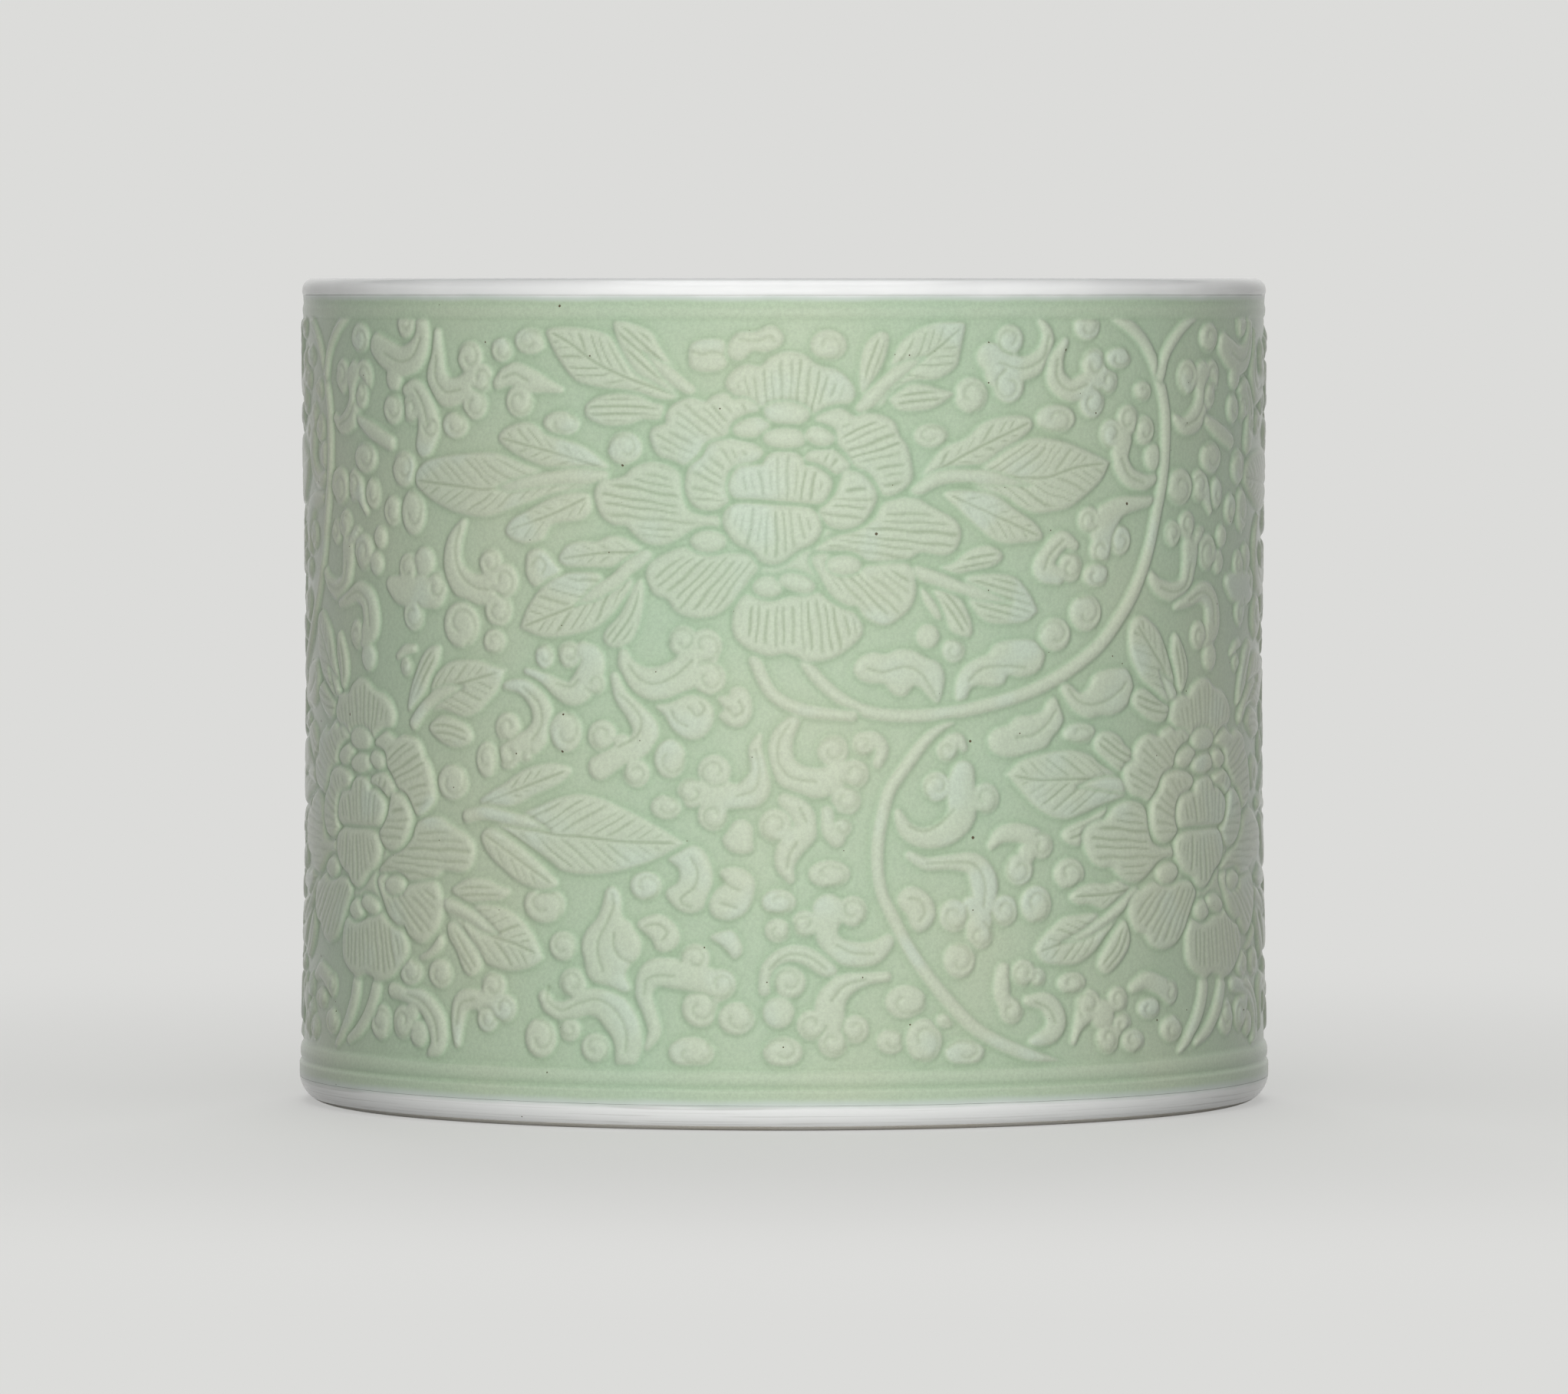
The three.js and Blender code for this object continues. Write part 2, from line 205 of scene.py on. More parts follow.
INNER_PETALS = (
    ([(-18.8, 122.5), (-18, 126), (-15.5, 128.2), (-14, 130.5), (-11, 131.3), (-8, 131.3),
     (-5, 130), (-4, 128.5), (-6, 126.8), (-10, 125.5), (-10.8, 122), (-10.5, 119.5),
     (-13, 118.2), (-16, 118.3), (-18, 120)], (-4, 119)),
    ([(3.5, 127.8), (6, 129.3), (9, 129.5), (11.5, 127.8), (12.8, 125.3), (10, 124.8),
     (7.5, 126.3)], (3, 119)),
    ([(11.5, 125), (14.5, 125), (17, 122.5), (17.5, 120), (16, 117), (14, 115.2), (11, 114.5),
     (8, 115.5), (6.3, 117.5), (8, 119.5), (10, 121.5)], (-18, 121)),
    ([(-10.5, 122.5), (-9, 125.8), (-6, 126.5), (-4, 126.8), (-3, 128.3), (0, 129.3), (3, 128.3),
     (4, 126.5), (6, 126.2), (8.5, 124.5), (9, 122.5), (7.5, 119.8), (5, 119.2), (0, 119.5),
     (-5, 120), (-9, 120.2)], (0, 96)),
    ([(-11.5, 116.5), (-10.5, 118.5), (-8, 119.3), (-3, 119), (4, 118.5), (6, 117.5), (7, 114.5),
     (5.5, 112), (3, 110.8), (1.5, 109.8), (0, 108.6), (-2, 107.9), (-4.5, 108.5), (-6, 110.3),
     (-8.5, 111.5), (-10.8, 113.5)], (-2, 140)),
)
# Each oval has its place, half its width and height, and its tilt in degrees.
BLOOM_OVALS = (
    (-6, 133.7, 3.8, 1.9, 10), (0.5, 136.3, 4.3, 2.2, -5), (0.3, 131.7, 4.3, 1.95, 0),
    (6.8, 132, 2.8, 1.8, -15), (-14.4, 112.1, 3.5, 2.1, 0), (11.5, 107.7, 3.2, 1.8, 0),
    (-3, 103.5, 3, 2, 0), (2.5, 104.2, 3.5, 1.7, -15),
)
BLOOM_CORE = (
    (-19, 127), (-12, 134), (-4, 138), (8, 137.5), (13, 134), (19, 128), (21, 120), (19, 112),
    (16, 105), (8, 103), (0, 102), (-8, 102), (-15, 105), (-20, 113),
)

# Each leaf has its outline, its rib and its veins.
LEAVES = (
    ([(14.8, 137), (16.5, 140.8), (19, 143.8), (20.5, 146.2), (22, 149.5), (25, 152), (29, 153.4),
     (33, 153.7), (35, 153.2), (34.6, 150.5), (34, 147.5), (33.5, 145.5), (31.5, 143.8),
     (29, 142.7), (25, 142), (22, 141), (19.8, 138.8), (17, 137)],
     [(14.8, 137.3), (19, 142), (23, 145), (27, 147), (31, 150), (34.5, 153)], BLADE),
    ([(14.8, 138.5), (14.3, 142), (14.5, 146), (15.5, 149.5), (18, 151.7), (19.9, 151),
     (19.3, 147), (17.5, 143), (15.8, 139.5)], [(15, 138.8), (16.3, 144), (18.8, 151)], LEAFLET),
    ([(20.5, 138.3), (22, 137), (25, 136.8), (28.5, 137.3), (31.5, 139), (32.7, 140.2), (30, 141),
     (27.5, 141.8), (24.5, 142), (22.5, 141), (20.3, 139.3)],
     [(20.5, 138.8), (26, 139.5), (32, 140)], LEAFLET),
    ([(-46.7, 152.2), (-41.6, 152.7), (-35.2, 151.7), (-31.7, 149.6), (-28.9, 146.3), (-26.5, 144),
     (-21.5, 141.4), (-19.8, 139.4), (-24.2, 139), (-31, 140.4), (-37.3, 141.6), (-40.9, 142.7),
     (-44.1, 146.3), (-46.3, 149.9)],
     [(-20.3, 139.8), (-28.9, 142.7), (-35.9, 145.7), (-41.6, 149.6), (-45.6, 151.7)], BLADE),
    ([(-18.3, 141), (-19.8, 144), (-22, 146.5), (-24, 149.5), (-25.3, 151.7), (-28, 153),
     (-31, 153.8), (-32.8, 153.5), (-32, 150), (-30, 146.5), (-28, 144), (-25, 142.5),
     (-21, 140.5)], [(-18.5, 141), (-24, 146), (-32.5, 153.3)], LEAFLET),
    ([(-38.7, 136), (-38.5, 138), (-36, 139.5), (-32, 140.2), (-28, 139.8), (-25, 138.5),
     (-23, 137.8), (-22.8, 136), (-24, 135), (-27, 135.2), (-30, 134.2), (-34, 134),
     (-37, 134.8)], [(-23, 136.5), (-30, 137), (-38, 136.8)], LEAFLET),
    ([(-80, 123.3), (-80, 123.3), (-79.5, 125), (-77, 126.8), (-72, 127.9), (-66, 128.5),
     (-59, 128.7), (-54, 127.5), (-49, 126), (-43, 125.3), (-37, 122.5), (-40, 121.5),
     (-46, 120.5), (-52, 119), (-57, 117.5), (-61, 116.5), (-66, 116.7), (-71, 117.8),
     (-76, 119.8), (-79.5, 122)],
     [(-40, 124), (-50, 123.2), (-60, 121.7), (-65, 122), (-72, 122.6), (-79, 123.2)], BLADE),
    ([(-58, 131.5), (-56, 133.5), (-52, 134.6), (-49, 133.8), (-47, 132.3), (-43, 131.3),
     (-39, 130), (-36, 128), (-34, 126), (-36, 125.2), (-42, 125.3), (-47, 126), (-52, 127.5),
     (-56, 129.5)], [(-35, 126), (-44, 128.5), (-57.5, 131.6)], BLADE),
    ([(-56.5, 113.5), (-54, 111.8), (-51, 111.5), (-48, 112.3), (-46.5, 114.5), (-44.5, 115.5),
     (-40, 116), (-37.8, 117.5), (-37.3, 120), (-38, 121), (-41, 121.3), (-46, 120.3), (-51, 118),
     (-55, 116)], [(-38, 120.5), (-46, 117), (-56, 113.8)], BLADE),
    ([(68, 126.8), (68, 126.8), (65, 128), (61, 129.5), (57, 130.8), (52, 131.6), (47, 131.3),
     (44, 130.3), (40, 128), (36, 126), (38, 121.3), (44, 120), (46, 118.5), (50, 117.3),
     (54, 117.5), (58, 118.2), (62, 120.5), (66, 123.5)],
     [(38, 124.3), (44, 124.2), (52, 124), (56, 125), (60, 126), (67, 126.7)], BLADE),
    ([(26, 123.5), (28.5, 127.5), (31, 130), (34.5, 131.2), (36.5, 132.5), (38.5, 134.3),
     (42, 135.5), (46, 135.9), (49, 135.2), (49.3, 133.5), (47, 131.5), (43, 129.5), (40, 127.5),
     (36, 126), (31, 125.2)], [(27, 124), (36, 129), (48.5, 134.5)], BLADE),
    ([(31, 121), (34, 121.8), (38, 121.5), (42, 120.5), (46, 118), (50, 115.5), (52, 113),
     (51, 112), (48, 111.7), (44, 111.5), (41, 112.3), (38, 114.5), (34, 118)],
     [(32, 120.8), (41, 117), (51.5, 112.6)], BLADE),
    ([(30.5, 107), (33, 108), (36, 110.2), (40, 111.2), (42.7, 110), (43, 108.5), (40.5, 107),
     (36, 106), (33, 105.9)], [(31, 106.8), (36, 108), (42.5, 109)], LEAFLET),
    ([(51, 98.6), (51, 98.6), (49, 102), (46, 105), (42, 105.8), (38, 105.7), (35, 104.8),
     (35.5, 101.5), (37.5, 98.5), (40, 96.6), (44, 96.2), (48.5, 96.7)],
     [(35, 103), (40, 101.5), (50.5, 98.8)], LEAFLET),
    ([(29, 103), (33, 102.5), (35.5, 99.5), (36.8, 96), (36.5, 94), (34.5, 94), (32.5, 95),
     (31.5, 97), (30, 100)], [(30, 102.5), (33, 99), (36, 94.5)], LEAFLET),
    ([(26.3, 103), (27.5, 102.5), (29.5, 100), (30.5, 97.5), (29.5, 97.3), (28, 99), (26.8, 101)],
     [(26.8, 102.5), (29.8, 98)], LEAFLET),
    ([(-53.3, 95.3), (-53.3, 95.3), (-52, 98.5), (-49.5, 102), (-47, 104), (-44, 105.5),
     (-41, 106.3), (-37, 106.3), (-35, 105.3), (-31, 106.5), (-28.5, 103.5), (-31, 100.5),
     (-34, 97.5), (-37, 95.5), (-41, 94.3), (-45, 93.7), (-49, 93.8)],
     [(-33, 104.5), (-37, 102), (-41, 99.7), (-52.5, 95.5)], BLADE),
    ([(-27.2, 104.7), (-27, 102), (-27.5, 98), (-28.5, 95), (-30, 92.8), (-32.5, 91.8),
     (-34.5, 92.3), (-35.3, 93.7), (-34.5, 95.5), (-32, 98), (-30, 101.5), (-28.3, 104.5)],
     [(-28, 104.3), (-30, 98.5), (-34, 93)], LEAFLET),
    ([(-44.6, 108.5), (-43, 111), (-40, 112), (-36.5, 112), (-34, 113), (-31, 112.8),
     (-28, 111.3), (-25.5, 110), (-28, 109), (-32, 107.3), (-36, 107), (-40, 107), (-43, 107.2)],
     [(-26.5, 110), (-35, 109.8), (-44, 108.6)], BLADE),
    ([(-83, 79), (-82, 83), (-80, 87), (-78, 90), (-75, 91.5), (-73.3, 91), (-74, 88), (-76, 85),
     (-78, 82), (-81, 79.5)], [(-82, 79.5), (-78, 86), (-74, 91)], LEAFLET),
    ([(-76.5, 76), (-74, 77.8), (-70.5, 78.3), (-67, 77), (-65, 75), (-65.3, 73.2), (-68, 72.2),
     (-71, 72.3), (-74, 73.5), (-76, 74.8)], [(-76, 75.5), (-71, 75.5), (-65.5, 74.2)], LEAFLET),
    ([(-76, 83.5), (-74, 86.5), (-70, 88.6), (-64, 89), (-60, 88), (-57, 87.2), (-57, 87.2),
     (-58.5, 83.5), (-61, 81), (-63.5, 79), (-67, 78), (-70, 78.7), (-73, 79.3), (-77, 79)],
     [(-76, 82), (-70, 83.8), (-64, 85.3), (-58, 86.8)], BLADE),
    ([(-63, 62), (-60, 64), (-57, 65.5), (-52, 68.5), (-47, 69.6), (-44, 69.4), (-42, 68.4),
     (-43.5, 66.5), (-46, 65), (-50, 63.5), (-54, 61.5), (-58, 60.5), (-62, 60.8)],
     [(-62, 61.5), (-52, 65), (-43, 68.2)], BLADE),
    ([(-56, 59), (-50, 61), (-45, 63), (-40, 63.8), (-35, 62.8), (-30, 60.7), (-25, 58.3),
     (-21, 56), (-19.2, 54.8), (-19.2, 54.8), (-21, 53.5), (-25, 51.5), (-30, 49.8), (-35, 48.8),
     (-40, 48.6), (-44, 49.2), (-46, 50.5), (-50, 53), (-56, 56), (-60, 57.3)],
     [(-57, 57.5), (-50, 56.8), (-45, 56), (-40, 55.8), (-35, 55.3), (-30, 54.9), (-20, 54.8)],
     BLADE),
    ([(-62.5, 55.5), (-60, 57), (-55, 54.8), (-50, 51.5), (-46, 48.3), (-44.8, 46.6),
     (-46.5, 45.7), (-50, 45.7), (-54, 47), (-57, 49), (-60, 51.2), (-62, 53.5)],
     [(-61.5, 55.8), (-54, 51.5), (-45.5, 46.4)], BLADE),
    ([(-70, 44.5), (-68, 46), (-65, 47.2), (-61, 47), (-58, 46), (-55.5, 45), (-57, 43.5),
     (-60, 42.5), (-64, 42), (-67, 42.7)], [(-69.5, 44.3), (-63, 44.8), (-56, 44.8)], LEAFLET),
    ([(-72, 41), (-65, 41.7), (-62, 42.2), (-58, 42), (-54, 40.5), (-51, 38), (-49, 35),
     (-48, 32.4), (-48, 32.4), (-50, 30.8), (-54, 29.8), (-58, 30), (-62, 31.5), (-65, 34),
     (-68, 37), (-71, 39.8)], [(-68, 40.8), (-64, 38.5), (-60, 36.5), (-54, 35), (-48.5, 33)],
     BLADE),
    ([(-71, 38), (-69, 38.5), (-66, 36), (-63, 33), (-62, 30.5), (-63.5, 28.7), (-65.5, 28.5),
     (-67, 30), (-68.5, 33), (-70.5, 35.5)], [(-70, 37.8), (-66.5, 33), (-63.5, 29.5)], LEAFLET),
    ([(87, 93), (88.5, 93.3), (90.5, 91), (92, 88), (92, 85), (90.5, 82), (89.5, 80.5),
     (88.5, 83), (87.5, 86.5), (86.5, 89)], [(89.7, 81.5), (89.8, 86.5), (87.8, 93)], LEAFLET),
    ([(74.5, 81.5), (76, 83), (78.5, 83.2), (81, 82), (84, 80.5), (87, 79.5), (85.5, 77.5),
     (83, 76.6), (80, 77), (77, 78.5), (75, 80)], [(86.5, 79), (81, 79.5), (75, 81.3)], LEAFLET),
    ([(73.7, 94), (75, 96.7), (77.5, 97.2), (80, 96), (82.5, 94), (84.5, 91), (86, 88),
     (87.5, 84.5), (89, 80), (88, 79.5), (84, 81), (80.5, 83), (77.5, 84.8), (75.5, 87.2),
     (74, 90)], [(87.5, 81.5), (83, 87.3), (80, 90.5), (76, 95)], BLADE),
    ([(64.5, 73.5), (66, 75), (68.5, 75.2), (71, 74.2), (73, 72.2), (75.5, 71), (77.3, 69.7),
     (77, 67.5), (75, 66.5), (71, 67), (67.5, 69.5), (65, 71.5)],
     [(77, 68.5), (71, 70.5), (65.5, 73.8)], LEAFLET),
    ([(44.3, 67.5), (44.3, 67.5), (47, 70), (51, 71.2), (56, 71.8), (60, 71.8), (64, 70.5),
     (66, 69), (72, 66.3), (76, 65.3), (76, 63), (70, 62), (66, 61), (62, 59.7), (58, 58.7),
     (54, 59.3), (50, 61.5), (47, 64.5)],
     [(75, 64.5), (66, 66), (58, 66.3), (51, 66.3), (45, 67.3)], BLADE),
    ([(56.5, 55.5), (57.5, 57), (60, 58), (63, 58.8), (66, 60), (68, 60.3), (66, 57.5), (64, 55),
     (61, 53.5), (58, 54)], [(67.5, 60), (62, 57), (57, 55.3)], LEAFLET),
    ([(58.3, 43.8), (60.5, 45.6), (64, 46.3), (68, 46), (71, 47), (73, 46), (76, 45.3),
     (73, 43.5), (70, 42), (67, 41), (63, 42.2), (60, 42.3)], [(75, 45), (67, 44), (59, 43.9)],
     BLADE),
    ([(50.3, 33.5), (50.5, 34.8), (52, 36.5), (54.5, 38.5), (57, 40), (60, 40.3), (64, 40.5),
     (67, 39.8), (70, 41.5), (75.5, 44.3), (73, 41.5), (70, 38.7), (67, 36), (64, 33), (60, 31),
     (56, 30.8), (52, 31.5)], [(71, 41.5), (66, 38.7), (61, 36.3), (56, 35), (51, 33.6)], BLADE),
    ([(65.5, 29.5), (67, 28.8), (69, 29.5), (71.5, 31.5), (73.5, 34.5), (73, 38), (71.5, 38.8),
     (69, 36.5), (66.5, 33.5), (65, 31)], [(72.3, 38.2), (70, 33.5), (66, 29.8)], LEAFLET),
)

# Stems and vines are places with half widths.
LEAF_STEMS = (
    [(14.8, 137.3, 1.3), (19, 142, 1.2), (23, 145, 0.9), (27, 147, -0.35)],
    [(-18, 140.8, 1.1), (-22, 144, 1), (-27, 148, -0.35)],
    [(-35, 124, 1.3), (-40, 124.4, 1.3), (-45, 124.2, 1.2), (-50, 123.3, 1), (-55, 122.3, 0.7),
     (-58.5, 122, -0.35)],
    [(25.5, 121.7, 1.2), (30, 124, 1.3), (36, 124.5, 1.2), (42, 123.8, 0.9), (49, 122.5, -0.35)],
    [(25, 106.3, 1.3), (30, 104.8, 1.3), (35, 103, 1.1), (40, 101.5, 0.7), (45, 100.2, -0.35)],
    [(-26.5, 109, 1.3), (-30, 107, 1.3), (-33, 104.5, 1.2), (-37, 102, 0.9), (-41, 99.7, -0.35)],
    [(-81, 76.5, 1.3), (-78.5, 79, 1.3), (-75, 81.5, 1.1), (-71, 83, 0.8), (-67, 83.8, -0.35)],
    [(-66, 59, 1.3), (-62, 59.7, 1.3), (-57, 59.2, 1.2), (-52, 58.3, 0.9), (-46.5, 56.8, -0.35)],
    [(-72.5, 42, 1.3), (-69, 41.5, 1.3), (-65, 40, 1.1), (-61, 37.8, 0.8), (-58, 36.8, -0.35)],
    [(88.7, 80, 1.2), (86, 83, 1), (82.5, 86.3, -0.35)],
    [(76.5, 64.3, 1.2), (70, 65, 1.2), (65, 65.2, 0.8), (60, 64.8, -0.35)],
    [(75.5, 44, 1.2), (71, 41.5, 1.1), (66, 38.7, 0.8), (61, 36.3, 0.5), (56, 35.2, -0.35)],
)

VINES = (
    [(69, 155, 1.2), (75, 151.5, 1.25), (79, 147.5, 1.3), (82, 142, 1.35), (83.8, 136, 1.4),
     (83.9, 129, 1.4), (83.2, 123, 1.4), (81.5, 117, 1.4), (79.3, 110, 1.4), (77, 105, 1.4),
     (74.5, 101, 1.4), (71, 96.8, 1.4), (66.5, 92.3, 1.4), (61, 88.6, 1.35), (55, 85.5, 1.35),
     (48, 82.8, 1.3), (41, 81, 1.3), (35, 79.8, 1.25), (29, 79.1, 1.2), (23, 78.9, 1.2),
     (17, 79.5, 1.2), (12.5, 81.2, 1.2), (9, 83.7, 1.2), (6, 86.6, 1.2), (4, 89.5, 1.2)],
    [(95, 155.5, 0.9), (90, 153, 1.1), (86, 150, 1.2), (83.5, 147, 1.2), (82.3, 143.5, 1.2)],
    [(-5.5, 89.5, 1.2), (-4, 86, 1.2), (-2.5, 83.5, 1.2), (0, 81.6, 1.2), (4, 80, 1.2),
     (8, 79.4, 1.1), (13, 78.9, 1)],
    [(33, 77.5, 0.2), (30, 76.3, 0.8), (27, 73.8, 1.1), (24, 70, 1.2), (20.4, 65, 1.2),
     (18.9, 60, 1.2), (18, 55, 1.2), (17.9, 50, 1.15), (18.8, 45, 1.15), (21.2, 40, 1.2),
     (23.8, 35, 1.2), (27.2, 30, 1.25), (31.3, 25, 1.3), (36.2, 20, 1.3), (41, 17, 1.3),
     (45.5, 15, 1.3), (51, 13, 1.2), (55, 11.5, 1.2)],
    [(97.5, 28.5, 1.7), (96.8, 23.5, 1.7), (94.8, 19.5, 1.6), (91.5, 15.8, 1.3), (88, 12.8, 0.6)],
    [(105.5, 29, 1.6), (104.5, 24, 1.7), (102, 19.8, 1.6), (98.5, 16.6, 1.4), (94, 14.4, 0.8)],
)

